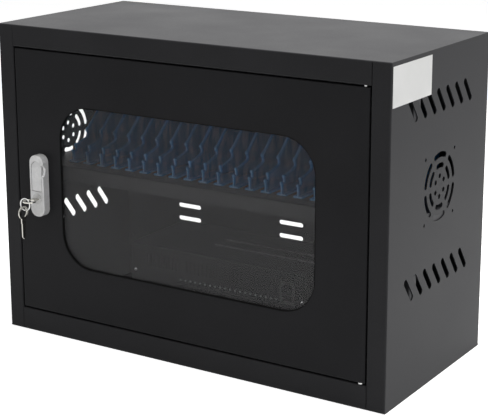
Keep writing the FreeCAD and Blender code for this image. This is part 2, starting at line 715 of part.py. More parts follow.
def charger_cover():
    """Top and both ends of the charger, with tabs for the front screws and spacers for the board."""
    path = [(CASE_LEFT, SHEET + SLIDE), (CASE_LEFT, CASE_TOP), (CASE_RIGHT, CASE_TOP),
            (CASE_RIGHT, SHEET + SLIDE)]
    cover = folded(path, Y_AXIS, CHARGER_SETBACK, CHARGER_DEPTH, CASE_SHEET, CASE_BEND)
    tab_y = CHARGER_SETBACK + CASE_SHEET
    tab_z = CASE_TOP - CASE_SCREW_DROP
    additions = []
    for sign in (-1, 1):
        low, high = sorted((sign * CASE_RIGHT, sign * (CASE_RIGHT - CASE_TAB_WIDTH)))
        tab = box(low, high, tab_y, tab_y + CASE_SHEET, tab_z - CASE_TAB_HEIGHT / 2,
                  tab_z + CASE_TAB_HEIGHT / 2)
        hole_x = sign * (CASE_RIGHT - CASE_SCREW_INSET)
        additions.append(tab.cut(rod(CASE_SCREW + 2 * RUNNING, Vector(hole_x, tab_y - 1, tab_z), Y_AXIS,
                                     CASE_SHEET + 2)))
    left, right, near, far = board_edges()
    for x in (left + SPACER, right - SPACER):
        for y in (near + SPACER / 2, far - SPACER / 2):
            additions.append(rod(SPACER, Vector(x, y, board_top()), Z_AXIS,
                                 CASE_TOP - CASE_SHEET / 2 - board_top()))
    cover = join(cover, *additions)
    mouths = [box(x - PORT_LONG / 2 - SLIDE, x + PORT_LONG / 2 + SLIDE, y - PORT_SHORT / 2 - SLIDE,
                  y + PORT_SHORT / 2 + SLIDE, CASE_TOP - 2 * CASE_SHEET, CASE_TOP + 1)
              for x, y in port_places()]
    return cover.cut(mouths)


def charger_screws():
    """Dome headed screws through the charger's front into the cover's tabs."""
    dome = (CASE_SCREW_HEAD ** 2 / 4 + CASE_SCREW_HEAD_HEIGHT ** 2) / (2 * CASE_SCREW_HEAD_HEIGHT)
    screws = []
    for x in case_screw_places():
        place = Vector(x, CHARGER_SETBACK, CASE_TOP - CASE_SCREW_DROP)
        crown = place - Y_AXIS * CASE_SCREW_HEAD_HEIGHT
        room = box(x - CASE_SCREW_HEAD, x + CASE_SCREW_HEAD, crown.y - 1, place.y,
                   place.z - CASE_SCREW_HEAD, place.z + CASE_SCREW_HEAD)
        head = room.common(Part.makeSphere(dome, crown + Y_AXIS * dome))
        shank = rod(CASE_SCREW, place, Y_AXIS, 4 * CASE_SHEET)
        screws.append(join(head, shank))
    return screws


def rim_at(edge, y, away):
    """True for the closed rim of a round piece, away from or on the plane at a given Y."""
    closed = len(edge.Vertexes) == 1
    return closed and (abs(edge.CenterOfMass.y - y) > 1e-3) == away


def charge_lamps():
    """Lamp lenses: short light guides with a domed face."""
    radius = LAMP_WIDTH / 2
    lamps = []
    for x in lamp_places():
        place = Vector(x, CHARGER_SETBACK, CASE_TOP - LAMP_DROP)
        dome = Part.makeSphere(radius, place)
        lamps.append(join(rod(LAMP_WIDTH, place, Y_AXIS, LAMP_STEM), dome))
    return lamps


def charging_sockets():
    """Metal socket shells with their inner tongue."""
    sockets = []
    for x, y in port_places():
        base = board_top()
        top = base + PORT_HEIGHT
        shell = box(x - PORT_LONG / 2, x + PORT_LONG / 2, y - PORT_SHORT / 2, y + PORT_SHORT / 2, base, top)
        inside = (PORT_LONG / 2 - PORT_WALL, PORT_SHORT / 2 - PORT_WALL)
        hollow = box(x - inside[0], x + inside[0], y - inside[1], y + inside[1], top - PORT_DEPTH, top + 1)
        tongue_y = y + inside[1] - TONGUE_SHORT - 0.6
        tongue = box(x - TONGUE_LONG / 2, x + TONGUE_LONG / 2, tongue_y, tongue_y + TONGUE_SHORT, base + 1,
                     top - 0.8)
        sockets.append(join(shell.cut(hollow), tongue))
    return sockets


def socket_board():
    """Circuit board under the sockets, hung from the cover's spacers."""
    left, right, near, far = board_edges()
    return box(left, right, near, far, board_top() - BOARD, board_top())


def power_supply():
    """Closed power supply on the charger's floor."""
    length, depth, height = SUPPLY_SIZE
    middle_y = CHARGER_SETBACK + CHARGER_DEPTH / 2
    floor = SHEET + CASE_SHEET
    block = box(-length / 2, length / 2, middle_y - depth / 2, middle_y + depth / 2, floor, floor + height)
    upright_edges = [e for e in block.Edges if abs(e.tangentAt(e.FirstParameter).z) > 0.9]
    return block.makeFillet(SUPPLY_ROUND, upright_edges)


def power_inlet():
    """Three pin appliance inlet in the charger's rear wall."""
    z = SHEET + INLET_RISE

    def block(size, y0, y1):
        return box(INLET_X - size[0] / 2, INLET_X + size[0] / 2, y0, y1, z - size[1] / 2, z + size[1] / 2)

    rim = CASE_BACK + INLET_FLANGE[2]
    flange = block(INLET_FLANGE, CASE_BACK, rim)
    body = block(INLET_BODY, rim - INLET_BODY[2], rim)
    recess = block(INLET_RECESS, rim - INLET_RECESS[2], rim + 1)
    shell = join(flange, body).cut(recess)
    floor = rim - INLET_RECESS[2]
    width, height, length = INLET_PIN
    pins = []
    for dx, dz in ((-INLET_PIN_PITCH / 2, -INLET_EARTH_RISE / 2), (0, INLET_EARTH_RISE / 2),
                   (INLET_PIN_PITCH / 2, -INLET_EARTH_RISE / 2)):
        pins.append(box(INLET_X + dx - width / 2, INLET_X + dx + width / 2, floor - 1, floor + length,
                        z + dz - height / 2, z + dz + height / 2))
    return join(shell, *pins)


def switch_frame():
    """Switch bezel with the sleeve that the rocker turns in."""
    z = CASE_TOP - SWITCH_DROP
    face = CHARGER_SETBACK - SWITCH_RIM
    back = CHARGER_SETBACK + SWITCH_SLEEVE_DEPTH
    bezel = prism(rectangle(SWITCH_X - SWITCH_WIDTH / 2, SWITCH_X + SWITCH_WIDTH / 2, z - SWITCH_HEIGHT / 2,
                            z + SWITCH_HEIGHT / 2), 2, Y_AXIS, face, SWITCH_RIM)
    sleeve = box(SWITCH_X - SWITCH_SLEEVE_WIDTH / 2, SWITCH_X + SWITCH_SLEEVE_WIDTH / 2, CHARGER_SETBACK,
                 back, z - SWITCH_SLEEVE_HEIGHT / 2, z + SWITCH_SLEEVE_HEIGHT / 2)
    mouth = box(SWITCH_X - SWITCH_MOUTH_WIDTH / 2, SWITCH_X + SWITCH_MOUTH_WIDTH / 2, face - 1, back - 1.5,
                z - SWITCH_MOUTH_HEIGHT / 2, z + SWITCH_MOUTH_HEIGHT / 2)
    bearing = rod(ROCKER_TRUNNION + 2 * RUNNING,
                  Vector(SWITCH_X - SWITCH_WIDTH, CHARGER_SETBACK + ROCKER_PIVOT_DEPTH, z),
                  X_AXIS, 2 * SWITCH_WIDTH)
    return join(bezel, sleeve).cut([mouth, bearing])


def switch_rocker():
    """Rocker with a shallow valley in its face and a trunnion at each side, tilted to off."""
    pivot_y = CHARGER_SETBACK + ROCKER_PIVOT_DEPTH
    z = CASE_TOP - SWITCH_DROP
    half = ROCKER_HALF_HEIGHT
    width = SWITCH_MOUTH_WIDTH - 2 * SLIDE
    flat = [(pivot_y - ROCKER_FACE, z + half), (pivot_y - ROCKER_FACE + ROCKER_DIP, z),
            (pivot_y - ROCKER_FACE, z - half), (pivot_y + ROCKER_BACK, z - half),
            (pivot_y + ROCKER_BACK, z + half)]
    body = prism(flat, [0.8, 0, 0.8, 0, 0], X_AXIS, SWITCH_X - width / 2, width)
    trunnion = rod(ROCKER_TRUNNION, Vector(SWITCH_X - SWITCH_SLEEVE_WIDTH / 2 + 0.2, pivot_y, z), X_AXIS,
                   SWITCH_SLEEVE_WIDTH - 0.4)
    rocker = join(body, trunnion)
    rocker.rotate(Vector(SWITCH_X, pivot_y, z), X_AXIS, ROCKER_TILT)
    return rocker


# Door, window and hinge pins

def window_outline(grow):
    """Corners of the window's rounded opening, grown outwards all round."""
    return rectangle(WINDOW_LEFT - grow, WINDOW_RIGHT + grow, WINDOW_BOTTOM - grow, WINDOW_TOP + grow)


def window_prism(grow, level, depth):
    """Solid of the window's outline, grown outwards all round."""
    return prism(window_outline(grow), WINDOW_CORNER + grow, Y_AXIS, level, depth)


def window_gasket():
    """Flat gasket under the pane's edge, with a lip that covers the sheet's cut edge."""
    flat = window_prism(PANE_LAP, SHEET, GASKET)
    lip = window_prism(-RUNNING, GASKET_LIP_INSET, SHEET)
    return join(flat, lip).cut(window_prism(-GASKET_LIP, -1, SHEET + GASKET + 2))


def clip_places():
    """Places on the pane's edge, as X, Z and the turn that points a clip outwards."""
    middle_x = (WINDOW_LEFT + WINDOW_RIGHT) / 2
    middle_z = (WINDOW_BOTTOM + WINDOW_TOP) / 2
    places = []
    for spread in (-CLIP_SPREAD_X, CLIP_SPREAD_X):
        places.append((middle_x + spread, WINDOW_TOP + PANE_LAP, -90))
        places.append((middle_x + spread, WINDOW_BOTTOM - PANE_LAP, 90))
    for spread in (-CLIP_SPREAD_Z, CLIP_SPREAD_Z):
        places.append((WINDOW_RIGHT + PANE_LAP, middle_z + spread, 0))
        places.append((WINDOW_LEFT - PANE_LAP, middle_z + spread, 180))
    return places


def at_clip(solid, place):
    """Copy of a solid drawn at a pane edge that faces right, moved to one of the clip places."""
    x, z, turn = place
    copy = solid.copy()
    copy.rotate(Vector(0, 0, 0), Y_AXIS, turn)
    copy.translate(Vector(x, 0, z))
    return copy


def clip_stud_out():
    """Distance of a clip's stud from the pane's edge."""
    return SLIDE + CLIP_SHEET + CLIP_FOOT / 2


def door_panel():
    """Pan shaped door with the window opening, welded hinge blocks, pane studs and a hole for the lock."""
    pan = box(DOOR_LEFT, DOOR_RIGHT, 0, DOOR_DEPTH, DOOR_BOTTOM, DOOR_TOP)
    front_edges = [e for e in pan.Edges if abs(e.CenterOfMass.y) < 1e-6]
    pan = pan.makeFillet(BEND, front_edges)
    pan = pan.cut(box(DOOR_LEFT + SHEET, DOOR_RIGHT - SHEET, SHEET, DOOR_DEPTH + 1, DOOR_BOTTOM + SHEET,
                      DOOR_TOP - SHEET))
    additions = []
    for z in (DOOR_BOTTOM + SHEET, DOOR_TOP - SHEET - HINGE_BLOCK):
        additions.append(box(DOOR_RIGHT - SHEET - HINGE_BLOCK_SIDE, DOOR_RIGHT - SHEET, SHEET,
                             SHEET + HINGE_BLOCK_SIDE, z, z + HINGE_BLOCK))
    stud = rod(CLIP_STUD, Vector(clip_stud_out(), SHEET, 0), Y_AXIS, CLIP_STUD_LENGTH)
    additions += [at_clip(stud, place) for place in clip_places()]
    pan = join(pan, *additions)
    pins = rod(HINGE_PIN, Vector(HINGE_X, HINGE_FROM_FACE, DOOR_BOTTOM - 1), Z_AXIS, HINGE_BLOCK + SHEET + 1)
    pins_up = rod(HINGE_PIN, Vector(HINGE_X, HINGE_FROM_FACE, DOOR_TOP - SHEET - HINGE_BLOCK), Z_AXIS,
                  HINGE_BLOCK + SHEET + 1)
    lock_hole = rod(LOCK_BARREL + 2 * SLIDE, Vector(LOCK_X, -1, PLUG_Z), Y_AXIS, SHEET + 2)
    return pan.cut([window_prism(0, -1, SHEET + 2), pins, pins_up, lock_hole])


def pane_clip():
    """Stepped clip that presses the pane's edge against the door, drawn at an edge that faces right."""
    pane_back = SHEET + GASKET + PANE
    foot = box(SLIDE, SLIDE + CLIP_SHEET + CLIP_FOOT, SHEET, SHEET + CLIP_SHEET, -CLIP_WIDTH / 2,
               CLIP_WIDTH / 2)
    riser = box(SLIDE, SLIDE + CLIP_SHEET, SHEET, pane_back + CLIP_SHEET, -CLIP_WIDTH / 2, CLIP_WIDTH / 2)
    tongue = box(-CLIP_LAP, SLIDE + CLIP_SHEET, pane_back, pane_back + CLIP_SHEET, -CLIP_WIDTH / 2,
                 CLIP_WIDTH / 2)
    hole = rod(CLIP_STUD + 2 * SLIDE, Vector(clip_stud_out(), 0, 0), Y_AXIS, DOOR_DEPTH)
    return join(foot, riser, tongue).cut(hole)


def clip_nut():
    """Nut on a pane stud, drawn at an edge that faces right."""
    return hexagon(CLIP_STUD * 1.75, Vector(clip_stud_out(), SHEET + CLIP_SHEET, 0), Y_AXIS,
                   CLIP_STUD * NUT_FACTOR, CLIP_STUD + 2 * RUNNING)


def hinge_pins():
    """Lower pin with a collar that carries the door, and upper pin."""
    lower_end = BOTTOM_RAIL - SHEET - HINGE_PIN_REACH
    lower = rod(HINGE_PIN, Vector(HINGE_X, HINGE_FROM_FACE, lower_end), Z_AXIS,
                DOOR_BOTTOM + SHEET + HINGE_BLOCK - lower_end)
    collar = rod(HINGE_COLLAR, Vector(HINGE_X, HINGE_FROM_FACE, BOTTOM_RAIL + RUNNING), Z_AXIS,
                 DOOR_GAP - RUNNING)
    upper_start = DOOR_TOP - SHEET - HINGE_BLOCK
    upper_end = OPENING_TOP + SHEET + HINGE_PIN_REACH
    upper = rod(HINGE_PIN, Vector(HINGE_X, HINGE_FROM_FACE, upper_start), Z_AXIS, upper_end - upper_start)
    return [join(lower, collar), upper]


# Lock, pull, cam and keys

def lock_pivot():
    """Place of the pull's pivot, near its foot."""
    return Vector(LOCK_X, -LOCK_PROUD + PULL_PIVOT_DEPTH, PULL_FOOT + PULL_PIVOT_FROM_FOOT)


def pull_prism(grow, depth):
    """Solid of the pull's outline from the lock's face inwards: a round head and a nearly square foot."""
    half = PULL_WIDTH / 2 + grow
    flat = rectangle(LOCK_X - half, LOCK_X + half, PULL_FOOT - grow, PULL_TOP + grow)
    return prism(flat, [2, 2, half * 0.98, half * 0.98], Y_AXIS, -LOCK_PROUD, depth)


def lock_housing():
    """Rounded housing on the door, with a pocket for the pull, a finger scoop and a threaded barrel."""
    flat = rectangle(LOCK_X - LOCK_WIDTH / 2, LOCK_X + LOCK_WIDTH / 2, LOCK_FOOT, LOCK_HEAD)
    body = prism(flat, LOCK_WIDTH * LOCK_END, Y_AXIS, -LOCK_PROUD, LOCK_PROUD)
    rim = [e for e in body.Edges if abs(e.CenterOfMass.y + LOCK_PROUD) < 1e-6]
    body = body.makeFillet(LOCK_EDGE, rim)
    barrel = rod(LOCK_BARREL, Vector(LOCK_X, -LOCK_PROUD / 2, PLUG_Z), Y_AXIS,
                 LOCK_PROUD / 2 + LOCK_BARREL_LENGTH)
    body = join(body, barrel)
    pivot = lock_pivot()
    shallow = pull_prism(PULL_POCKET_GAP, PULL_THICKNESS + 2 * PULL_POCKET_GAP)
    swing = box(LOCK_X - LOCK_WIDTH, LOCK_X + LOCK_WIDTH, -LOCK_PROUD, 0, LOCK_FOOT, pivot.z + PULL_PIN)
    deep = pull_prism(PULL_POCKET_GAP, LOCK_PROUD).common(swing)
    bore = rod(PLUG + 2 * RUNNING, Vector(LOCK_X, -LOCK_PROUD - 1, PLUG_Z), Y_AXIS,
               LOCK_PROUD + LOCK_BARREL_LENGTH + 2)
    trunnion = rod(PULL_PIN + 2 * RUNNING,
                   Vector(LOCK_X - LOCK_WIDTH / 2 + PULL_PIN_COVER, pivot.y, pivot.z), X_AXIS,
                   LOCK_WIDTH - 2 * PULL_PIN_COVER)
    scoop = Part.makeSphere(SCOOP, Vector(LOCK_X + LOCK_WIDTH / 2 + SCOOP_OUT, -LOCK_PROUD - SCOOP_PROUD,
                                          PULL_TOP - SCOOP_FROM_TOP))
    return body.cut([shallow, deep, bore, trunnion, scoop])


def lock_nut():
    """Nut on the barrel that clamps the housing to the door."""
    return hexagon(LOCK_NUT_ACROSS, Vector(LOCK_X, SHEET, PLUG_Z), Y_AXIS, LOCK_NUT_HEIGHT,
                   LOCK_BARREL + 2 * RUNNING)


def pull_lever():
    """Pull that swings out at its head, with a sloping pad there and a trunnion at each side of its foot."""
    pivot = lock_pivot()
    body = pull_prism(0, PULL_THICKNESS)
    rim = [e for e in body.Edges if abs(e.CenterOfMass.y + LOCK_PROUD) < 1e-6]
    body = body.makeFillet(PULL_EDGE, rim)
    pad_end = PULL_TOP - PULL_PAD
    slope = PULL_PAD_DEPTH / PULL_PAD
    beyond = PULL_TOP + 1
    pad = prism([(-LOCK_PROUD, pad_end), (-LOCK_PROUD + slope * (beyond - pad_end), beyond),
                 (-LOCK_PROUD - 1, beyond)], 0,
                X_AXIS, LOCK_X - PULL_WIDTH, 2 * PULL_WIDTH)
    span = LOCK_WIDTH - 2 * PULL_PIN_COVER - 2 * SLIDE
    trunnion = rod(PULL_PIN, Vector(LOCK_X - span / 2, pivot.y, pivot.z), X_AXIS, span)
    return join(body.cut(pad), trunnion)


def key_blade_slot(clearance):
    """Flat slot that the key's blade fills, seen from the plug's face inwards."""
    half = KEY_BLADE_WIDTH / 2 + clearance
    thick = KEY_SHEET / 2 + clearance
    return box(LOCK_X - half, LOCK_X + half, -LOCK_PROUD - PLUG_RIM_HEIGHT - 1,
               -LOCK_PROUD + KEY_BLADE_LENGTH + clearance, PLUG_Z - thick, PLUG_Z + thick)


def key_plug():
    """Cylinder that the key turns, with a rim at its face and the cam on its inner end."""
    body = rod(PLUG, Vector(LOCK_X, -LOCK_PROUD, PLUG_Z), Y_AXIS, LOCK_PROUD + CAM_Y)
    rim = rod(PLUG_RIM, Vector(LOCK_X, -LOCK_PROUD - RUNNING - PLUG_RIM_HEIGHT, PLUG_Z), Y_AXIS,
              PLUG_RIM_HEIGHT)
    neck = rod(PLUG, Vector(LOCK_X, -LOCK_PROUD - 0.3, PLUG_Z), Y_AXIS, 1)
    plug = join(body, neck, rim)
    thread = rod(CAM_SCREW, Vector(LOCK_X, CAM_Y - CAM_SCREW_LENGTH + CAM_SHEET, PLUG_Z), Y_AXIS,
                 CAM_SCREW_LENGTH)
    return plug.cut([key_blade_slot(KEY_CLEARANCE), thread])


def latch_cam():
    """Flat cam that hangs down when unlocked and reaches behind the left jamb when locked."""
    half = CAM_WIDTH / 2
    flat = rectangle(LOCK_X - half, LOCK_X + half, PLUG_Z - CAM_REACH, PLUG_Z + half)
    cam = prism(flat, [3, 3, half * 0.98, half * 0.98], Y_AXIS, CAM_Y, CAM_SHEET)
    return cam.cut(rod(CAM_SCREW + 2 * RUNNING, Vector(LOCK_X, CAM_Y - 1, PLUG_Z), Y_AXIS, CAM_SHEET + 2))


def cam_screw():
    """Screw that holds the cam on the plug."""
    seat = CAM_Y + CAM_SHEET
    head = rod(CAM_SCREW_HEAD, Vector(LOCK_X, seat, PLUG_Z), Y_AXIS, CAM_SCREW_HEAD_HEIGHT)
    head = head.makeFillet(CAM_SCREW_HEAD_HEIGHT / 3, [e for e in head.Edges if rim_at(e, seat, True)])
    shank = rod(CAM_SCREW, Vector(LOCK_X, seat - CAM_SCREW_LENGTH, PLUG_Z), Y_AXIS, CAM_SCREW_LENGTH)
    return join(head, shank)


def key_flat():
    """Key drawn flat with the blade along +Y, its shoulder at the origin, and its thickness along Z."""
    bow_y = -KEY_NECK_LENGTH - KEY_BOW / 2
    level = -KEY_SHEET / 2
    bow = rod(KEY_BOW, Vector(0, bow_y, level), Z_AXIS, KEY_SHEET)
    neck = box(-KEY_NECK_WIDTH / 2, KEY_NECK_WIDTH / 2, -KEY_NECK_LENGTH - 2, 0, level, level + KEY_SHEET)
    half = KEY_BLADE_WIDTH / 2
    tip = KEY_BLADE_LENGTH
    blade = prism([(-half, -0.5), (half, -0.5), (half, tip - half), (0, tip), (-half, tip - half)], 0,
                  Z_AXIS, level, KEY_SHEET)
    key = join(bow, neck, blade)
    hole = rod(KEY_BOW_HOLE, Vector(0, bow_y, level - 1), Z_AXIS, KEY_SHEET + 2)
    bit = KEY_BIT_WIDTH / 2
    bits = [prism([(half + 0.1, y - bit), (half + 0.1, y + bit), (half - depth, y)], 0, Z_AXIS, level - 1,
                  KEY_SHEET + 2)
            for y, depth in KEY_BITS]
    return key.cut([hole] + bits)


def key_in_lock():
    """Key pushed home, lying flat while the lock is open."""
    key = key_flat()
    key.translate(Vector(LOCK_X, -LOCK_PROUD - PLUG_RIM_HEIGHT - 2 * RUNNING, PLUG_Z))
    return key


def bow_centre():
    """Centre of the bow of the key in the lock."""
    return Vector(LOCK_X, -LOCK_PROUD - PLUG_RIM_HEIGHT - 2 * RUNNING - KEY_NECK_LENGTH - KEY_BOW / 2, PLUG_Z)


def bow_rim_centre():
    """Middle of the bow's left rim, which the ring hangs on."""
    return bow_centre() - X_AXIS * ((KEY_BOW + KEY_BOW_HOLE) / 4)


def ring_centre():
    """Centre of the ring: it hangs from the bow's rim, clear of it at every angle."""
    rim_reach = math.hypot((KEY_BOW - KEY_BOW_HOLE) / 4, KEY_SHEET / 2)
    return bow_rim_centre() - Z_AXIS * ((RING_MEAN - RING_WIRE) / 2 - rim_reach - SLIDE)


def key_ring():
    """Wire ring that hangs from the bow, across the key."""
    return Part.makeTorus(RING_MEAN / 2, RING_WIRE / 2, ring_centre(), Y_AXIS)


def hang_point():
    """Point of the ring that the second key hangs from, to the left of the ring's lowest point."""
    angle = math.radians(RING_HANG_ANGLE)
    return ring_centre() - (X_AXIS * math.sin(angle) + Z_AXIS * math.cos(angle)) * (RING_MEAN / 2)


def spare_key():
    """Second key, hanging blade down from the ring and clear of its slanting wire."""
    key = key_flat()
    key.rotate(Vector(0, 0, 0), X_AXIS, -90)
    key.rotate(Vector(0, 0, 0), Z_AXIS, 90)
    angle = math.radians(RING_HANG_ANGLE)
    wire_rise = RING_WIRE / 2 / math.cos(angle) + KEY_SHEET / 2 * math.tan(angle)
    hang = KEY_BOW_HOLE / 2 - wire_rise - SLIDE
    bow_up = KEY_NECK_LENGTH + KEY_BOW / 2
    key.translate(hang_point() - Z_AXIS * (hang + bow_up))
    return key


def rating_label():
    """Blank film label on the right side."""
    top = HEIGHT - LABEL_FROM_TOP
    return box(HALF, HALF + LABEL_FILM, LABEL_FRONT_Y, LABEL_FRONT_Y + LABEL_LENGTH, top - LABEL_HEIGHT, top)


os.makedirs("parts", exist_ok=True)

put("left_side_panel", side_panel(-1, OPENING_LEFT))
put("right_side_panel", side_panel(1, OPENING_RIGHT))
put("top_panel", cross_panel(HEIGHT, -1, OPENING_TOP))
put("bottom_panel", cross_panel(0, 1, BOTTOM_RAIL))
put("back_panel", back_panel())
put("back_rivets", *back_rivets())
put("cable_grommet", cable_grommet())
put("left_upright", upright(-1))
put("right_upright", upright(1))
put("device_shelf", device_shelf())
put("shelf_nuts", *shelf_nuts())
for number, place in enumerate(divider_places(), 1):
    put("divider_%02d" % number, divider(place))
put("charger_tray", charger_tray())
put("charger_cover", charger_cover())
put("charger_screws", *charger_screws())
put("charge_lamps", *charge_lamps())
put("charging_sockets", *charging_sockets())
put("socket_board", socket_board())
put("power_supply", power_supply())
put("power_inlet", power_inlet())
put("switch_frame", switch_frame())
put("switch_rocker", switch_rocker())
put("rating_label", rating_label())
put("door_panel", door_panel())
put("window_gasket", window_gasket())
put("window_pane", window_prism(PANE_LAP, SHEET + GASKET, PANE))
put("pane_clips", *[at_clip(pane_clip(), place) for place in clip_places()])
put("pane_nuts", *[at_clip(clip_nut(), place) for place in clip_places()])
put("hinge_pins", *hinge_pins())
put("lock_housing", lock_housing())
put("lock_nut", lock_nut())
put("pull_lever", pull_lever())
put("key_plug", key_plug())
put("latch_cam", latch_cam())
put("cam_screw", cam_screw())
put("key", key_in_lock())
put("key_ring", key_ring())
put("spare_key", spare_key())
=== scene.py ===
"""Looks of the device charging cabinet, dressed on its packed construction model."""

import json
import logging
import math
from dataclasses import dataclass, field
from enum import Enum
from typing import Dict, List, Sequence, Tuple

import bmesh
import bpy
import numpy as np
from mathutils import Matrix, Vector

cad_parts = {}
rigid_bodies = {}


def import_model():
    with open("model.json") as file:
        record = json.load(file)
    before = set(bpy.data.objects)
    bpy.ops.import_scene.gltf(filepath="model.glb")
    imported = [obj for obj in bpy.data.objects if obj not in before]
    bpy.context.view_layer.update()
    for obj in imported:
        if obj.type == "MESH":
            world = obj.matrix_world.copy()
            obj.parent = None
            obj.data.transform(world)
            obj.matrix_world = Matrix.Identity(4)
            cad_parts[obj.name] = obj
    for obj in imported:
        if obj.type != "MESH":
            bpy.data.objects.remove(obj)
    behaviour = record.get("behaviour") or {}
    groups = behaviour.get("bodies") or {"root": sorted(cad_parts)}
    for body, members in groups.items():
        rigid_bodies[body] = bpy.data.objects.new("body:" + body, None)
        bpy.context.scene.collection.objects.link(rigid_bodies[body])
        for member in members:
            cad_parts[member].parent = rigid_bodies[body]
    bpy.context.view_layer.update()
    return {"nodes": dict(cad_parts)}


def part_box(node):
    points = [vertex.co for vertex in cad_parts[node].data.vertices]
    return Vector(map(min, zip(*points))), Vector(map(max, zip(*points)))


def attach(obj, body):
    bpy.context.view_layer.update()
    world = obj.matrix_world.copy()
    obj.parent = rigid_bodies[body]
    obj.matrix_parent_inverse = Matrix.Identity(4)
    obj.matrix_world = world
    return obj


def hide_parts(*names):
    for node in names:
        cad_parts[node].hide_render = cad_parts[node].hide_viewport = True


LOG = logging.getLogger("charging_cabinet")
MM = 0.001
FRONT = -138.5 * MM
NOISE_LOW = 0.3
NOISE_HIGH = 0.7
FLOW_SCALE = 30.0
FLOW_STRETCH = (1.0, 2.2, 0.7)
TOOL_SCALE = 1400.0
TOOL_RELIEF = 0.02 * MM
PLASTIC_IOR = 1.49

Colour = Tuple[float, float, float]
Nodes = Dict[str, bpy.types.Object]


class Body(Enum):
    """Rigid bodies of the construction model that new pieces ride on."""

    CABINET = "cabinet"
    RING = "ring"


class Side(Enum):
    """Sides of the cabinet that the lamps stand over."""

    TOP = "top"
    RIGHT = "right"
    FRONT = "front"


def toned(colour: Colour, factor: float) -> Colour:
    """Colour made lighter or darker by a factor."""
    return (colour[0] * factor, colour[1] * factor, colour[2] * factor)


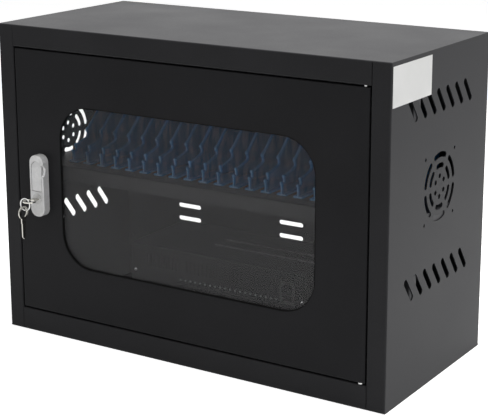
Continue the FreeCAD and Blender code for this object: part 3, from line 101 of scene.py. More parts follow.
class Graph:
    """Shader graph of one material, with short calls for the nodes that the finishes share."""

    def __init__(self, name: str) -> None:
        """Start an empty material whose output is one Principled shader.

        Args:
            name: name of the material.
        """
        self.material = bpy.data.materials.new(name)
        self.material.use_nodes = True
        self.nodes = self.material.node_tree.nodes
        self.links = self.material.node_tree.links
        self.nodes.clear()
        output = self.nodes.new("ShaderNodeOutputMaterial")
        self.shader = self.nodes.new("ShaderNodeBsdfPrincipled")
        self.links.new(self.shader.outputs[0], output.inputs["Surface"])
        self.place = self.nodes.new("ShaderNodeTexCoord").outputs["Object"]

    def set(self, **values: object) -> None:
        """Set constant sockets of the shader; an underscore stands for a space in a socket's name."""
        for key, value in values.items():
            self.shader.inputs[key.replace("_", " ")].default_value = value

    def stretched(self, scale: Sequence[float]) -> bpy.types.NodeSocket:
        """Object coordinates scaled along each axis, for brushed and drawn patterns.

        Args:
            scale: factor along X, Y and Z.

        Returns:
            The scaled coordinates.
        """
        mapping = self.nodes.new("ShaderNodeMapping")
        mapping.inputs["Scale"].default_value = tuple(scale)
        self.links.new(self.place, mapping.inputs["Vector"])
        return mapping.outputs[0]

    def noise(self, scale: float, detail: float = 2.0,
              place: bpy.types.NodeSocket | None = None) -> bpy.types.NodeSocket:
        """Noise of a number of features per metre.

        Args:
            scale: features per metre of the coordinates.
            detail: octaves.
            place: coordinates, or None for plain Object coordinates.

        Returns:
            The noise value, about 0.5 on average.
        """
        texture = self.nodes.new("ShaderNodeTexNoise")
        texture.inputs["Scale"].default_value = scale
        texture.inputs["Detail"].default_value = detail
        self.links.new(place or self.place, texture.inputs["Vector"])
        return texture.outputs["Fac"]

    def facing(self, axis: str) -> bpy.types.NodeSocket:
        """How far the surface faces along an axis.

        Args:
            axis: X, Y or Z of the object.

        Returns:
            0 where the surface runs along the axis, 1 where it stands across it.
        """
        coordinates = self.nodes.new("ShaderNodeTexCoord")
        split = self.nodes.new("ShaderNodeSeparateXYZ")
        size = self.nodes.new("ShaderNodeMath")
        size.operation = "ABSOLUTE"
        self.links.new(coordinates.outputs["Normal"], split.inputs[0])
        self.links.new(split.outputs[axis], size.inputs[0])
        return size.outputs[0]

    def larger(self, first: bpy.types.NodeSocket, second: bpy.types.NodeSocket) -> bpy.types.NodeSocket:
        """Compare two values.

        Args:
            first: one value.
            second: the other value.

        Returns:
            The larger of the two.
        """
        choice = self.nodes.new("ShaderNodeMath")
        choice.operation = "MAXIMUM"
        self.links.new(first, choice.inputs[0])
        self.links.new(second, choice.inputs[1])
        return choice.outputs[0]

    def smoothed(self, value: bpy.types.NodeSocket, start: float, stop: float, low: float,
                 high: float) -> bpy.types.NodeSocket:
        """Value that runs smoothly from one level to another.

        Args:
            value: what the level depends on.
            start: value at which the first level ends.
            stop: value at which the second level begins.
            low: first level.
            high: second level.

        Returns:
            The level.
        """
        spread = self.nodes.new("ShaderNodeMapRange")
        spread.interpolation_type = "SMOOTHSTEP"
        self.links.new(value, spread.inputs["Value"])
        for socket, number in zip(("From Min", "From Max", "To Min", "To Max"), (start, stop, low, high)):
            spread.inputs[socket].default_value = number
        return spread.outputs[0]

    def rising(self, start: float, stop: float, low: float, high: float) -> bpy.types.NodeSocket:
        """Value that runs smoothly from one level to another between two heights.

        Args:
            start: height in metres at which the first level ends.
            stop: height in metres at which the second level begins.
            low: first level.
            high: second level.

        Returns:
            The level.
        """
        split = self.nodes.new("ShaderNodeSeparateXYZ")
        self.links.new(self.place, split.inputs[0])
        return self.smoothed(split.outputs["Z"], start, stop, low, high)

    def ranged(self, value: bpy.types.NodeSocket, low: float, high: float) -> bpy.types.NodeSocket:
        """The middle stretch of a noise value, where nearly all of it lies, spread over a new range.

        Args:
            value: noise value.
            low: result at the stretch's lower end.
            high: result at its upper end.

        Returns:
            The spread value.
        """
        spread = self.nodes.new("ShaderNodeMapRange")
        spread.inputs["From Min"].default_value = NOISE_LOW
        spread.inputs["From Max"].default_value = NOISE_HIGH
        spread.inputs["To Min"].default_value = low
        spread.inputs["To Max"].default_value = high
        self.links.new(value, spread.inputs["Value"])
        return spread.outputs[0]

    def tones(self, value: bpy.types.NodeSocket, dark: Colour, light: Colour) -> None:
        """Blend the base colour between two tones.

        Args:
            value: noise value that chooses the tone.
            dark: colour at the lower end of the noise's middle stretch.
            light: colour at its upper end.
        """
        ramp = self.nodes.new("ShaderNodeValToRGB")
        ramp.color_ramp.elements[0].position = NOISE_LOW
        ramp.color_ramp.elements[1].position = NOISE_HIGH
        ramp.color_ramp.elements[0].color = (*dark, 1.0)
        ramp.color_ramp.elements[1].color = (*light, 1.0)
        self.links.new(value, ramp.inputs[0])
        self.links.new(ramp.outputs[0], self.shader.inputs["Base Color"])

    def shades(self, value: bpy.types.NodeSocket, colour: Colour, dark: float, light: float) -> None:
        """Blend the base colour between two shades of one colour.

        Args:
            value: noise value that chooses the shade.
            colour: the colour.
            dark: factor of the darker shade.
            light: factor of the lighter shade.
        """
        self.tones(value, toned(colour, dark), toned(colour, light))

    def rough(self, value: bpy.types.NodeSocket, low: float, high: float) -> None:
        """Vary the roughness between two values."""
        self.links.new(self.ranged(value, low, high), self.shader.inputs["Roughness"])

    def relief(self, value: bpy.types.NodeSocket, height: float, strength: float = 1.0) -> None:
        """Bump the surface.

        Args:
            value: height map from 0 to 1.
            height: height in metres of a value of 1.
            strength: share of the bump that is used.
        """
        bump = self.nodes.new("ShaderNodeBump")
        bump.inputs["Distance"].default_value = height
        bump.inputs["Strength"].default_value = strength
        self.links.new(value, bump.inputs["Height"])
        self.links.new(bump.outputs[0], self.shader.inputs["Normal"])

    def mixed(self, first: bpy.types.NodeSocket, second: bpy.types.NodeSocket,
              share: float) -> bpy.types.NodeSocket:
        """Weighted mean of two values.

        Args:
            first: value with weight 1 - share.
            second: value with weight share.
            share: weight of the second value.

        Returns:
            The mean.
        """
        mix = self.nodes.new("ShaderNodeMix")
        mix.inputs["Factor"].default_value = share
        self.links.new(first, mix.inputs["A"])
        self.links.new(second, mix.inputs["B"])
        return mix.outputs["Result"]

    def moulded(self, roughness: float) -> bpy.types.NodeSocket:
        """Gloss and fine tool texture that all moulded plastics share.

        Args:
            roughness: middle roughness.

        Returns:
            Noise of the long flow marks, for the tone.
        """
        flow = self.noise(FLOW_SCALE, 3.0, self.stretched(FLOW_STRETCH))
        tool = self.noise(TOOL_SCALE, 2.0)
        self.rough(self.mixed(flow, tool, 0.5), roughness - 0.06, roughness + 0.08)
        self.relief(tool, TOOL_RELIEF)
        self.set(IOR=PLASTIC_IOR)
        return flow


@dataclass(frozen=True)
class PowderCoat:
    """Powder coat: fine orange peel, faint clouds of tone and a little change of gloss."""

    name: str
    colour: Colour
    roughness: float = 0.36
    gloss: float = 0.065
    grains: float = 620.0
    clouds: float = 9.0
    relief: float = 0.04 * MM

    def material(self) -> bpy.types.Material:
        """Material with two sizes of grain in tone, gloss and height.

        Returns:
            The material.
        """
        graph = Graph(self.name)
        grain = graph.noise(self.grains, 3.0)
        cloud = graph.noise(self.clouds, 4.0)
        graph.shades(graph.mixed(cloud, grain, 0.45), self.colour, dark=0.82, light=1.18)
        graph.rough(graph.mixed(cloud, grain, 0.35), self.roughness - 0.05, self.roughness + 0.07)
        graph.relief(grain, self.relief)
        graph.set(Specular_IOR_Level=self.gloss)
        return graph.material


@dataclass(frozen=True)
class SatinMetal:
    """Bare, plated or silvered metal with a drawn grain along one axis."""

    name: str
    colour: Colour
    roughness: float = 0.25
    drawn: Tuple[float, float, float] = (1.0, 1.0, 12.0)
    grains: float = 260.0
    clouds: float = 70.0
    relief: float = 0.01 * MM
    bare: float = 1.0

    def material(self) -> bpy.types.Material:
        """Material whose grain is stretched noise, with cloudy tarnish over it.

        Returns:
            The material.
        """
        graph = Graph(self.name)
        grain = graph.noise(self.grains, 3.0, graph.stretched(self.drawn))
        cloud = graph.noise(self.clouds, 3.0)
        graph.shades(graph.mixed(cloud, grain, 0.4), self.colour, dark=0.84, light=1.1)
        graph.rough(graph.mixed(cloud, grain, 0.5), max(self.roughness - 0.07, 0.03), self.roughness + 0.09)
        graph.relief(grain, self.relief)
        graph.set(Metallic=self.bare)
        return graph.material


@dataclass(frozen=True)
class MouldedPlastic:
    """Moulded plastic: even colour with slight flow marks and a fine tool texture."""

    name: str
    colour: Colour
    roughness: float = 0.35

    def material(self) -> bpy.types.Material:
        """Material with long flow marks in tone and gloss.

        Returns:
            The material.
        """
        graph = Graph(self.name)
        graph.shades(graph.moulded(self.roughness), self.colour, dark=0.88, light=1.14)
        return graph.material


@dataclass(frozen=True)
class DividerPlastic:
    """Tinted plastic plate with painted light and shade: its rims carry a lighter painted tone, most where
    they face the front, from which the light falls, and its flat faces a darker painted shade.
    """

    name: str
    # The first colour is the rims' tone with painted light in it, the second the flat faces' tone with
    # painted shade in it.
    lit_rim: Colour
    side: Colour
    roughness: float = 0.26
    gloss: float = 0.35
    off_front_shade: float = 0.72
    front_lit_range: Tuple[float, float] = (0.85, 0.98)

    def material(self) -> bpy.types.Material:
        """Material with a rim tone of painted light, a side tone of painted shade and flow marks between
        them.

        Returns:
            The material.
        """
        graph = Graph(self.name)
        flow = graph.moulded(self.roughness)
        # Painted shade on the flat faces and on rims turned away from the front; rims that face the front
        # keep the lighter tone as painted light.
        turned_away_shade = graph.smoothed(graph.facing("Y"), *self.front_lit_range, self.off_front_shade, 0.0)
        painted_shade = graph.larger(graph.facing("X"), turned_away_shade)
        graph.tones(graph.mixed(painted_shade, flow, 0.3), self.lit_rim, self.side)
        graph.set(Specular_IOR_Level=self.gloss)
        return graph.material


@dataclass(frozen=True)
class SoftRubber:
    """Dull rubber with dust in its pores."""

    name: str
    colour: Colour
    pores: float = 900.0
    dust: float = 40.0
    gloss: float = 0.1

    def material(self) -> bpy.types.Material:
        """Material with a pore texture and pale dust.

        Returns:
            The material.
        """
        graph = Graph(self.name)
        pores = graph.noise(self.pores, 3.0)
        dust = graph.noise(self.dust, 4.0)
        graph.shades(graph.mixed(dust, pores, 0.4), self.colour, dark=1.0, light=2.0)
        graph.rough(pores, 0.7, 0.9)
        graph.relief(pores, 0.05 * MM)
        graph.set(Specular_IOR_Level=self.gloss)
        return graph.material


@dataclass(frozen=True)
class ClearSheet:
    """Clear window sheet: nearly all light passes, and its faint colour is a painted reflection over the
    window, lighter low down and dimmer towards its top.
    """

    name: str
    painted_reflection_low: Colour
    painted_reflection_high: Colour
    cover: float = 0.17
    gloss: float = 0.5
    smears: float = 14.0
    reflection_fade: Tuple[float, float] = (245.0 * MM, 272.0 * MM)

    def material(self) -> bpy.types.Material:
        """Material with a low cover, so that light and shadow pass through it.

        Returns:
            The material.
        """
        graph = Graph(self.name)
        smear = graph.noise(self.smears, 3.0)
        # Painted reflection: the base colour is a pale veil standing in for the studio's reflection in the
        # sheet, lighter below the fade heights and dimmer above them, with smears through it.
        level = graph.rising(*self.reflection_fade, 1.0, 0.0)
        graph.tones(graph.mixed(level, smear, 0.5), self.painted_reflection_high, self.painted_reflection_low)
        graph.rough(smear, 0.03, 0.08)
        graph.set(Alpha=self.cover, IOR=PLASTIC_IOR, Specular_IOR_Level=self.gloss)
        return graph.material


@dataclass(frozen=True)
class BlankFilm:
    """White label film with paper fibres and slightly grey handling marks."""

    name: str
    colour: Colour
    fibres: float = 500.0
    fibre_stretch: Tuple[float, float, float] = (1.0, 0.5, 2.0)
    marks: float = 22.0

    def material(self) -> bpy.types.Material:
        """Material with fibre noise in tone and height.

        Returns:
            The material.
        """
        graph = Graph(self.name)
        fibre = graph.noise(self.fibres, 4.0, graph.stretched(self.fibre_stretch))
        marks = graph.noise(self.marks, 4.0)
        graph.shades(graph.mixed(marks, fibre, 0.35), self.colour, dark=0.93, light=1.03)
        graph.rough(fibre, 0.42, 0.6)
        graph.relief(fibre, 0.02 * MM)
        return graph.material


@dataclass(frozen=True)
class LampLens:
    """Clear lamp lens that is not lit: pale, glossy and slightly see-through."""

    name: str
    colour: Colour
    swirls: float = 300.0

    def material(self) -> bpy.types.Material:
        """Material with faint swirls in tone.

        Returns:
            The material.
        """
        graph = Graph(self.name)
        swirl = graph.noise(self.swirls, 2.0)
        graph.shades(swirl, self.colour, dark=0.85, light=1.1)
        graph.rough(swirl, 0.08, 0.16)
        graph.set(Subsurface_Weight=0.3, Subsurface_Scale=1.0 * MM)
        return graph.material


def ring_quads(rings: int, around: int) -> np.ndarray:
    """Quads between neighbouring closed rings of a grid of points.

    Args:
        rings: number of rings.
        around: points on each ring.

    Returns:
        Array of four vertex numbers for each quad.
    """
    ring = np.arange(rings - 1)[:, None] * around
    step = np.arange(around)[None, :]
    following = (step + 1) % around
    corners = [ring + step, ring + following, ring + around + following, ring + around + step]
    quads = np.stack(corners, axis=-1)
    return quads.reshape(-1, 4)


def capped_tube(rings: np.ndarray) -> Tuple[np.ndarray, List[List[int]]]:
    """Closed skin over a stack of rings, with a flat face on each end.

    Args:
        rings: points as an array of rings by points by three.

    Returns:
        The vertices and the faces.
    """
    count, around = rings.shape[:2]
    faces = ring_quads(count, around).tolist()
    faces.append(list(range(around))[::-1])
    faces.append(list(range((count - 1) * around, count * around)))
    return rings.reshape(-1, 3), faces


def rounded_loop(corners: np.ndarray, radii: np.ndarray, steps: int = 7) -> np.ndarray:
    """Closed flat outline whose corners are eased by a quadratic curve from tangent to tangent.

    Args:
        corners: outline corners, one row of two numbers for each.
        radii: reach of the easing along both sides of each corner.
        steps: points on each eased corner.

    Returns:
        The outline's points in order.
    """
    inward = np.roll(corners, 1, axis=0) - corners
    onward = np.roll(corners, -1, axis=0) - corners
    inward /= np.linalg.norm(inward, axis=1, keepdims=True)
    onward /= np.linalg.norm(onward, axis=1, keepdims=True)
    start = (corners + inward * radii[:, None])[:, None, :]
    end = (corners + onward * radii[:, None])[:, None, :]
    t = np.linspace(0.0, 1.0, steps)[None, :, None]
    curve = (1 - t) ** 2 * start + 2 * t * (1 - t) * corners[:, None, :] + t ** 2 * end
    return curve.reshape(-1, 2)


def inward_normals(loop: np.ndarray) -> np.ndarray:
    """Normals of a closed loop, each square to the chord between a point's two neighbours.

    Args:
        loop: anticlockwise outline, one row of two numbers for each point.

    Returns:
        Unit vectors that point into the loop.
    """
    chord = np.roll(loop, -1, axis=0) - np.roll(loop, 1, axis=0)
    normal = np.stack([-chord[:, 1], chord[:, 0]], axis=1)
    return normal / np.maximum(np.linalg.norm(normal, axis=1, keepdims=True), 1e-12)


def round_bar(centre: Sequence[float], radius: float, low: float, high: float,
              around: int = 16, eased: float = 0.25) -> np.ndarray:
    """Rings of an upright bar with eased ends.

    Args:
        centre: X and Y of its axis.
        radius: its radius.
        low: Z of its lower end.
        high: Z of its upper end.
        around: points on each ring.
        eased: share of the radius that each end is eased by.

    Returns:
        Array of four rings.
    """
    angle = np.linspace(0.0, 2 * np.pi, around, endpoint=False)
    ease = radius * eased
    size = np.array([radius - ease, radius, radius, radius - ease])[:, None]
    level = np.array([low, low + ease, high - ease, high])[:, None]
    x = centre[0] + size * np.cos(angle)
    y = centre[1] + size * np.sin(angle)
    return np.stack([x, y, np.broadcast_to(level, x.shape)], axis=-1)


def new_piece(name: str, skins: Sequence[Tuple[np.ndarray, List[List[int]]]],
              material: bpy.types.Material, sharp: float = 40.0) -> bpy.types.Object:
    """Object at the origin made of closed skins, smooth up to a sharp angle.

    Args:
        name: name of the piece.
        skins: vertices and faces of each skin.
        material: its finish.
        sharp: angle in degrees past which an edge stays sharp.

    Returns:
        The new object, linked to the scene.
    """
    mesh = bpy.data.meshes.new(name)
    offsets = np.cumsum([0] + [len(vertices) for vertices, _ in skins])
    faces = [[v + int(offset) for v in face] for (_, some), offset in zip(skins, offsets) for face in some]
    mesh.from_pydata(np.concatenate([vertices for vertices, _ in skins]).tolist(), [], faces)
    shape = bmesh.new()
    shape.from_mesh(mesh)
    bmesh.ops.recalc_face_normals(shape, faces=shape.faces)
    for edge in shape.edges:
        edge.smooth = len(edge.link_faces) == 2 and edge.calc_face_angle(0.0) < math.radians(sharp)
    shape.to_mesh(mesh)
    shape.free()
    mesh.polygons.foreach_set("use_smooth", np.ones(len(mesh.polygons), bool))
    mesh.materials.append(material)
    piece = bpy.data.objects.new(name, mesh)
    bpy.context.scene.collection.objects.link(piece)
    return piece


def dress(nodes: Nodes, names: Sequence[str], material: bpy.types.Material) -> None:
    """Give construction nodes one material.

    Args:
        nodes: nodes by name.
        names: the nodes to dress.
        material: their finish.
    """
    for name in names:
        mesh = nodes[name].data
        mesh.materials.clear()
        mesh.materials.append(material)
        LOG.info("dressed %s with %s", name, material.name)


@dataclass
class CabinetShell:
    """Folded sheet shell with its back panel, rivets, lead entry and blank label."""

    coat: PowderCoat = PowderCoat("cabinet_powder_coat", (0.028, 0.028, 0.030))
    rubber: SoftRubber = SoftRubber("grommet_rubber", (0.012, 0.012, 0.012))
    film: BlankFilm = BlankFilm("label_film", (0.64, 0.64, 0.63))

    def build(self, nodes: Nodes) -> None:
        """Dress the shell's nodes.

        Args:
            nodes: construction nodes by name.
        """
        panels = ["left_side_panel", "right_side_panel", "top_panel", "bottom_panel", "back_panel"]
        dress(nodes, panels + ["back_rivets"], self.coat.material())
        dress(nodes, ["cable_grommet"], self.rubber.material())
        dress(nodes, ["rating_label"], self.film.material())


@dataclass
class DeviceShelf:
    """Shelf, uprights, nuts and the row of moulded dividers."""

    coat: PowderCoat = PowderCoat("shelf_powder_coat", (0.052, 0.052, 0.055))
    zinc: SatinMetal = SatinMetal("shelf_nut_zinc", (0.55, 0.55, 0.54), 0.3)
    # Divider plastic: a bright rim colour with painted light and a dark face colour with painted shade.
    plastic: DividerPlastic = DividerPlastic("divider_blue", (0.22, 0.56, 1.0), (0.015, 0.24, 0.62))
    count: int = 21
    pitch: float = 24.4 * MM
    wall: float = 2.4 * MM
    bead: float = 4.2 * MM
    bead_depth: float = 2.6 * MM
    bead_step: float = 0.9 * MM
    bead_points: int = 9
    knob_width: float = 5.2 * MM
    knob: Tuple[float, float] = (2.0 * MM, 2.6 * MM)
    bulb: Tuple[float, float] = (3.0 * MM, 3.6 * MM)
    bulb_drop: float = 2.4 * MM
    foot_width: float = 14.0 * MM
    foot_height: float = 2.6 * MM
    foot_ease: float = 0.6 * MM
    foot_taper: float = 0.9
    foot_rounding: Tuple[float, float] = (0.3 * MM, 1.1 * MM)
    foot_points: int = 4
    shelf_top: float = 225.0 * MM
    front: float = FRONT + 85.0 * MM
    rear: float = FRONT + 242.0 * MM
    stem: float = 17.0 * MM
    step_back: float = 5.8 * MM
    step_rise: float = 8.0 * MM
    saddle_back: float = 33.4 * MM
    saddle_rise: float = 7.0 * MM
    neck: float = 11.0 * MM
    height: float = 93.0 * MM
    top_depth: float = 72.0 * MM
    peg: float = 2.0 * MM
    peg_length: float = 5.0 * MM
    peg_inset: float = 22.0 * MM
    sharp: float = 50.0

    def profile(self) -> Tuple[np.ndarray, np.ndarray, np.ndarray]:
        """Outline of a divider in Y and Z, with the bead's width and outward swell at each of its points.

        The bead swells by bell curves, each with its own height and reach, about the two knobs and the bulb.

        Returns:
            The outline's points, the widths and the swells.
        """
        base = self.shelf_top + self.foot_height / 2
        stem_z = self.shelf_top + self.stem
        step_y = self.front + self.step_back
        step_z = stem_z + self.step_rise
        saddle_y = self.front + self.saddle_back
        saddle_z = step_z + self.saddle_rise
        neck_z = saddle_z + self.neck
        top = self.shelf_top + self.height
        corners = np.array([
            (self.rear, base), (self.rear, top), (self.rear - self.top_depth, top),
            (saddle_y, neck_z), (saddle_y, saddle_z), (step_y, step_z), (step_y, stem_z),
            (self.front, stem_z), (self.front, base)])
        # Reach of the easing at each of the corners, in their order.
        reach = np.array([0.2, 15.0, 15.0, 3.0, 3.0, 1.5, 1.0, 1.0, 0.2]) * MM
        loop = self.refined(rounded_loop(corners, reach))
        spots = {(self.front, stem_z): self.knob, (step_y, step_z): self.knob,
                 (saddle_y, neck_z - self.bulb_drop): self.bulb}
        bells = [np.exp(-np.sum((loop - np.array(spot)) ** 2, axis=1) / size[1] ** 2)
                 for spot, size in spots.items()]
        swell = sum(bell * size[0] for bell, size in zip(bells, spots.values()))
        return loop, self.bead + (self.knob_width - self.bead) * np.clip(sum(bells), 0.0, 1.0), swell

    @staticmethod
    def refined(loop: np.ndarray, spacing: float = 1.1 * MM) -> np.ndarray:
        """Outline resampled at an even spacing along its length.

        Args:
            loop: closed outline.
            spacing: wanted distance between points.

        Returns:
            The resampled outline.
        """
        closed = np.vstack([loop, loop[:1]])
        length = np.concatenate([[0.0], np.cumsum(np.linalg.norm(np.diff(closed, axis=0), axis=1))])
        marks = np.linspace(0.0, length[-1], int(length[-1] / spacing), endpoint=False)
        return np.stack([np.interp(marks, length, closed[:, k]) for k in (0, 1)], axis=1)

    def plate(self, x: float) -> Tuple[np.ndarray, List[List[int]]]:
        """Plate with a rounded bead round its edge.

        Each ring is the outline moved inwards by depth * (1 - cos a) and sideways by half the bead's
        width * sin a, for a from -90 to 90 degrees; one more ring on each side steps down to the
        wall's thickness.

        Args:
            x: middle of the plate.

        Returns:
            The skin's vertices and faces.
        """
        loop, width, swell = self.profile()
        inner = inward_normals(loop)
        angle = np.linspace(-np.pi / 2, np.pi / 2, self.bead_points)[:, None]
        side = np.sin(angle) * width[None, :] / 2
        depth = self.bead_depth * (1 - np.cos(angle)) * np.ones_like(side)
        edge = np.full((1, len(loop)), self.wall / 2)
        step = np.full((1, len(loop)), self.bead_depth + self.bead_step)
        side = np.vstack([-edge, side, edge])
        depth = np.vstack([step, depth - swell[None, :], step])
        flat = loop[None, :, :] + inner[None, :, :] * depth[:, :, None]
        rings = np.concatenate([(x + side)[:, :, None], flat], axis=2)
        return capped_tube(rings)

    def foot(self, x: float) -> Tuple[np.ndarray, List[List[int]]]:
        """Long foot: an eased rectangle carried along Y, drawn in a little at both ends.

        Args:
            x: middle of the foot.

        Returns:
            The skin's vertices and faces.
        """
        half = self.foot_width / 2
        low = self.shelf_top
        high = self.shelf_top + self.foot_height
        corners = np.array([(-half, low), (half, low), (half, high), (-half, high)])
        section = rounded_loop(corners, np.repeat(self.foot_rounding, 2), self.foot_points)
        middle = np.array([0.0, (low + high) / 2])
        along = np.array([self.front, self.front + self.foot_ease, self.rear - self.foot_ease, self.rear])
        scale = np.array([self.foot_taper, 1.0, 1.0, self.foot_taper])[:, None, None]
        drawn = (section - middle)[None, :, :] * scale + middle
        y = np.broadcast_to(along[:, None, None], (len(along), len(section), 1))
        rings = np.concatenate([x + drawn[:, :, :1], y, drawn[:, :, 1:]], axis=2)
        return capped_tube(rings[:, ::-1])

    def build(self, nodes: Nodes) -> None:
        """Dress the shelf and put a moulded divider in the place of each plain one.

        Args:
            nodes: construction nodes by name.
        """
        dress(nodes, ["device_shelf", "left_upright", "right_upright"], self.coat.material())
        dress(nodes, ["shelf_nuts"], self.zinc.material())
        blue = self.plastic.material()
        pegs = (self.front + self.peg_inset, self.rear - self.peg_inset)
        for number in range(self.count):
            x = (number - (self.count - 1) / 2) * self.pitch
            skins = [self.plate(x), self.foot(x)]
            skins += [capped_tube(round_bar((x, y), self.peg, self.shelf_top - self.peg_length,
                                            self.shelf_top + self.foot_height / 2)) for y in pegs]
            name = "divider_%02d" % (number + 1)
            piece = new_piece("moulded_" + name, skins, blue, self.sharp)
            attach(piece, Body.CABINET.value)
            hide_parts(name)
            dress(nodes, [name], blue)


@dataclass
class Charger:
    """Charger case with its sockets, lamps, switch and inlet."""

    coat: PowderCoat = PowderCoat("charger_paint", (0.026, 0.026, 0.028), 0.42)
    # Very bright zinc with a fifth of it matt white: partly real plating, partly a painted highlight
    # standing in for the glints on the screw heads.
    zinc: SatinMetal = SatinMetal("charger_screw_zinc_glint", (0.95, 0.95, 0.94), 0.12, bare=0.8)
    tin: SatinMetal = SatinMetal("socket_tin", (0.16, 0.16, 0.165), 0.4)
    plastic: MouldedPlastic = MouldedPlastic("charger_black_plastic", (0.022, 0.022, 0.023), 0.4)
    rocker: MouldedPlastic = MouldedPlastic("rocker_plastic", (0.03, 0.03, 0.031), 0.22)
    board: MouldedPlastic = MouldedPlastic("board_laminate", (0.015, 0.11, 0.05), 0.4)
    supply: MouldedPlastic = MouldedPlastic("supply_case", (0.045, 0.045, 0.048), 0.5)
    lens: LampLens = LampLens("lamp_lens", (0.27, 0.28, 0.28))

    def build(self, nodes: Nodes) -> None:
        """Dress the charger's nodes.

        Args:
            nodes: construction nodes by name.
        """
        dress(nodes, ["charger_tray", "charger_cover"], self.coat.material())
        dress(nodes, ["charger_screws"], self.zinc.material())
        dress(nodes, ["charging_sockets"], self.tin.material())
        dress(nodes, ["power_inlet", "switch_frame"], self.plastic.material())
        dress(nodes, ["switch_rocker"], self.rocker.material())
        dress(nodes, ["socket_board"], self.board.material())
        dress(nodes, ["power_supply"], self.supply.material())
        dress(nodes, ["charge_lamps"], self.lens.material())


@dataclass
class Door:
    """Door pan with its window, clips and hinge pins."""

    coat: PowderCoat = PowderCoat("door_powder_coat", (0.017, 0.017, 0.0185))
    # Rubber darker than real black rubber: partly its own colour, partly painted shade, so that its lit lip
    # reads as the black line round the window.
    rubber: SoftRubber = SoftRubber("gasket_rubber_shade", (0.003, 0.003, 0.003))
    # Lower and upper colours of the painted reflection over the window.
    pane: ClearSheet = ClearSheet("window_sheet", (0.118, 0.118, 0.124), (0.064, 0.076, 0.09))
    zinc: SatinMetal = SatinMetal("clip_zinc", (0.5, 0.5, 0.49), 0.32)
    pin: SatinMetal = SatinMetal("hinge_pin_steel", (0.5, 0.5, 0.5), 0.18)

    def build(self, nodes: Nodes) -> None:
        """Dress the door's nodes.

        Args:
            nodes: construction nodes by name.
        """
        dress(nodes, ["door_panel"], self.coat.material())
        dress(nodes, ["window_gasket"], self.rubber.material())
        dress(nodes, ["window_pane"], self.pane.material())
        dress(nodes, ["pane_clips", "pane_nuts"], self.zinc.material())
        dress(nodes, ["hinge_pins"], self.pin.material())


@dataclass
class LockAndKeys:
    """Lock housing, pull, plug, cam, the two keys and their split ring."""

    silver: SatinMetal = SatinMetal("lock_silver", (0.7, 0.7, 0.7), 0.34, (1.0, 1.0, 1.0), bare=0.2)
    plug: SatinMetal = SatinMetal("plug_metal", (0.6, 0.6, 0.6), 0.28, bare=0.3)
    zinc: SatinMetal = SatinMetal("cam_zinc", (0.52, 0.52, 0.51), 0.3)
    nickel: SatinMetal = SatinMetal("key_nickel", (0.5, 0.49, 0.45), 0.2)
    wire: SatinMetal = SatinMetal("ring_steel", (0.56, 0.56, 0.55), 0.14)
    ring_radius: float = 8.0 * MM
    wire_radius: float = 0.8 * MM
    wire_share: Tuple[float, float] = (0.97, 0.47)
    wire_end: float = 0.35
    wire_end_rings: int = 3
    turns: float = 2.0
    first_angle: float = 0.6
    crossing: float = 0.7
    path_points: int = 161
    section_points: int = 12

    def split_ring(self) -> None:
        """Split ring of flat wire in two turns, in the place of the plain ring.

        The path is a circle whose offset along Y steps from one turn to the next by a smooth ramp; the
        section is an ellipse, wide across the ring and half as deep along it.
        """
        low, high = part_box("key_ring")
        centre = np.array((low + high) / 2)
        last_angle = self.first_angle + self.turns * 2 * np.pi
        angle = np.linspace(self.first_angle, last_angle, self.path_points)
        ramp = np.clip((angle - angle.mean()) / self.crossing + 0.5, 0.0, 1.0)
        offset = (ramp * ramp * (3 - 2 * ramp) - 0.5) * self.wire_radius
        around = np.linspace(0.0, 2 * np.pi, self.section_points, endpoint=False)[None, :]
        number = np.arange(self.path_points)
        from_end = np.minimum(number, number[::-1])
        taper = np.minimum(1.0, from_end / self.wire_end_rings + self.wire_end)[:, None]
        wide, deep = self.wire_share
        radial = self.ring_radius + self.wire_radius * wide * np.cos(around) * taper
        x = centre[0] + radial * np.cos(angle)[:, None]
        z = centre[2] + radial * np.sin(angle)[:, None]
        y = centre[1] + offset[:, None] + self.wire_radius * deep * np.sin(around) * taper
        piece = new_piece("split_ring", [capped_tube(np.stack([x, y, z], axis=-1))], self.wire.material())
        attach(piece, Body.RING.value)
        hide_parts("key_ring")
        LOG.info("built %s", piece.name)

    def build(self, nodes: Nodes) -> None:
        """Dress the lock and add the split ring.

        Args:
            nodes: construction nodes by name.
        """
        dress(nodes, ["lock_housing", "pull_lever"], self.silver.material())
        dress(nodes, ["key_plug"], self.plug.material())
        dress(nodes, ["lock_nut", "latch_cam", "cam_screw"], self.zinc.material())
        dress(nodes, ["key", "spare_key"], self.nickel.material())
        self.split_ring()


@dataclass(frozen=True)
class Lamp:
    """Square soft lamp: its place and the length of its side in metres, and its power in watts."""

    place: Tuple[float, float, float]
    size: float
    power: float


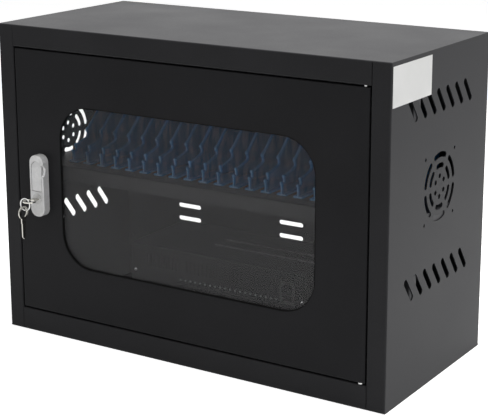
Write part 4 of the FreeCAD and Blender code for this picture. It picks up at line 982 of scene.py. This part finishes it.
@dataclass
class Studio:
    """Pale floor, white background, soft lamps and the camera of the photograph."""

    floor_size: float = 30.0
    floor_drop: float = 0.4 * MM
    floor_colour: Colour = (0.82, 0.82, 0.82)
    floor_glow: float = 0.8
    sky_level: float = 0.2
    eye: Tuple[float, float, float] = (1022.7 * MM, -1442.4 * MM + FRONT, 705.6 * MM)
    azimuth: float = 32.053
    elevation: float = 13.861
    focal_pixels: float = 1441.9
    image_width: float = 488.0
    image_height: float = 418.0
    centre_column: float = 260.5
    centre_row: float = 165.5
    sensor: float = 36.0
    sight: float = 100.0
    target: Tuple[float, float, float] = (0.0, 0.0, 0.2)
    lamps: Dict[Side, Lamp] = field(default_factory=lambda: {
        Side.TOP: Lamp((0.25, 0.25, 2.0), 1.6, 44.0),
        Side.RIGHT: Lamp((2.2, 0.0, 0.9), 1.4, 19.0),
        Side.FRONT: Lamp((-0.7, -2.4, 1.3), 1.4, 5.0)})

    def seen(self, tree: bpy.types.NodeTree) -> bpy.types.NodeSocket:
        """One for rays from the camera, mirrors and glass, and zero for the rest.

        Args:
            tree: node tree to add to.

        Returns:
            The value.
        """
        path = tree.nodes.new("ShaderNodeLightPath")
        either = tree.nodes.new("ShaderNodeMath")
        either.operation = "MAXIMUM"
        every = tree.nodes.new("ShaderNodeMath")
        every.operation = "MAXIMUM"
        tree.links.new(path.outputs["Is Camera Ray"], either.inputs[0])
        tree.links.new(path.outputs["Is Glossy Ray"], either.inputs[1])
        tree.links.new(either.outputs[0], every.inputs[0])
        tree.links.new(path.outputs["Is Transmission Ray"], every.inputs[1])
        return every.outputs[0]

    def background(self) -> None:
        """White where it is seen, and a dimmer even sky for the light on the object."""
        world = bpy.data.worlds.new("studio_white")
        bpy.context.scene.world = world
        world.use_nodes = True
        tree = world.node_tree
        tree.nodes.clear()
        output = tree.nodes.new("ShaderNodeOutputWorld")
        mix = tree.nodes.new("ShaderNodeMixShader")
        sky = tree.nodes.new("ShaderNodeBackground")
        sky.inputs["Strength"].default_value = self.sky_level
        white = tree.nodes.new("ShaderNodeBackground")
        white.inputs["Color"].default_value = (1.0, 1.0, 1.0, 1.0)
        tree.links.new(self.seen(tree), mix.inputs[0])
        tree.links.new(sky.outputs[0], mix.inputs[1])
        tree.links.new(white.outputs[0], mix.inputs[2])
        tree.links.new(mix.outputs[0], output.inputs["Surface"])

    def floor(self) -> None:
        """Pale floor that keeps a soft shadow and glows to white where it is seen."""
        half = self.floor_size / 2
        mesh = bpy.data.meshes.new("studio_floor")
        plan = ((-half, -half), (half, -half), (half, half), (-half, half))
        mesh.from_pydata([(x, y, -self.floor_drop) for x, y in plan], [], [(0, 1, 2, 3)])
        mesh.materials.append(self.floor_material())
        floor = bpy.data.objects.new("studio_floor", mesh)
        bpy.context.scene.collection.objects.link(floor)

    def floor_material(self) -> bpy.types.Material:
        """Matt material with a glow that only seen rays find.

        Returns:
            The material.
        """
        material = bpy.data.materials.new("studio_floor")
        material.use_nodes = True
        tree = material.node_tree
        tree.nodes.clear()
        output = tree.nodes.new("ShaderNodeOutputMaterial")
        both = tree.nodes.new("ShaderNodeAddShader")
        matt = tree.nodes.new("ShaderNodeBsdfDiffuse")
        matt.inputs["Color"].default_value = (*self.floor_colour, 1.0)
        glow = tree.nodes.new("ShaderNodeEmission")
        level = tree.nodes.new("ShaderNodeMath")
        level.operation = "MULTIPLY"
        level.inputs[1].default_value = self.floor_glow
        tree.links.new(self.seen(tree), level.inputs[0])
        tree.links.new(level.outputs[0], glow.inputs["Strength"])
        tree.links.new(matt.outputs[0], both.inputs[0])
        tree.links.new(glow.outputs[0], both.inputs[1])
        tree.links.new(both.outputs[0], output.inputs["Surface"])
        return material

    def lights(self) -> None:
        """Square soft lamps that face the middle of the cabinet."""
        target = Vector(self.target)
        for side, lamp in self.lamps.items():
            light = bpy.data.lights.new("lamp_" + side.value, "AREA")
            light.shape = "SQUARE"
            light.size = lamp.size
            light.energy = lamp.power
            holder = bpy.data.objects.new(light.name, light)
            holder.location = lamp.place
            holder.rotation_euler = (target - Vector(lamp.place)).to_track_quat("-Z", "Y").to_euler()
            bpy.context.scene.collection.objects.link(holder)

    def camera(self) -> None:
        """Camera at the place, angle and focal length worked out from the photograph's edges."""
        data = bpy.data.cameras.new("photo_camera")
        data.sensor_width = self.sensor
        data.lens = self.focal_pixels * self.sensor / self.image_width
        data.shift_x = (self.image_width / 2 - self.centre_column) / self.image_width
        data.shift_y = (self.centre_row - self.image_height / 2) / self.image_width
        data.clip_end = self.sight
        camera = bpy.data.objects.new("photo_camera", data)
        turn = math.radians(self.azimuth)
        dip = math.radians(self.elevation)
        look = Vector((-math.sin(turn) * math.cos(dip), math.cos(turn) * math.cos(dip), -math.sin(dip)))
        camera.location = self.eye
        camera.rotation_euler = look.to_track_quat("-Z", "Y").to_euler()
        bpy.context.scene.collection.objects.link(camera)
        bpy.context.scene.camera = camera

    def build(self) -> None:
        """Set up the whole studio."""
        bpy.context.scene.view_settings.view_transform = "Standard"
        self.background()
        self.floor()
        self.lights()
        self.camera()


def main() -> None:
    """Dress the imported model, one sub-assembly after another, and light it."""
    logging.basicConfig(level=logging.INFO, format="%(name)s: %(message)s")
    for item in list(bpy.data.objects):
        bpy.data.objects.remove(item)
    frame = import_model()
    nodes = frame["nodes"]
    for assembly in (CabinetShell(), DeviceShelf(), Charger(), Door(), LockAndKeys()):
        assembly.build(nodes)
        LOG.info("built %s", type(assembly).__name__)
    Studio().build()


if __name__ == "__main__":
    main()
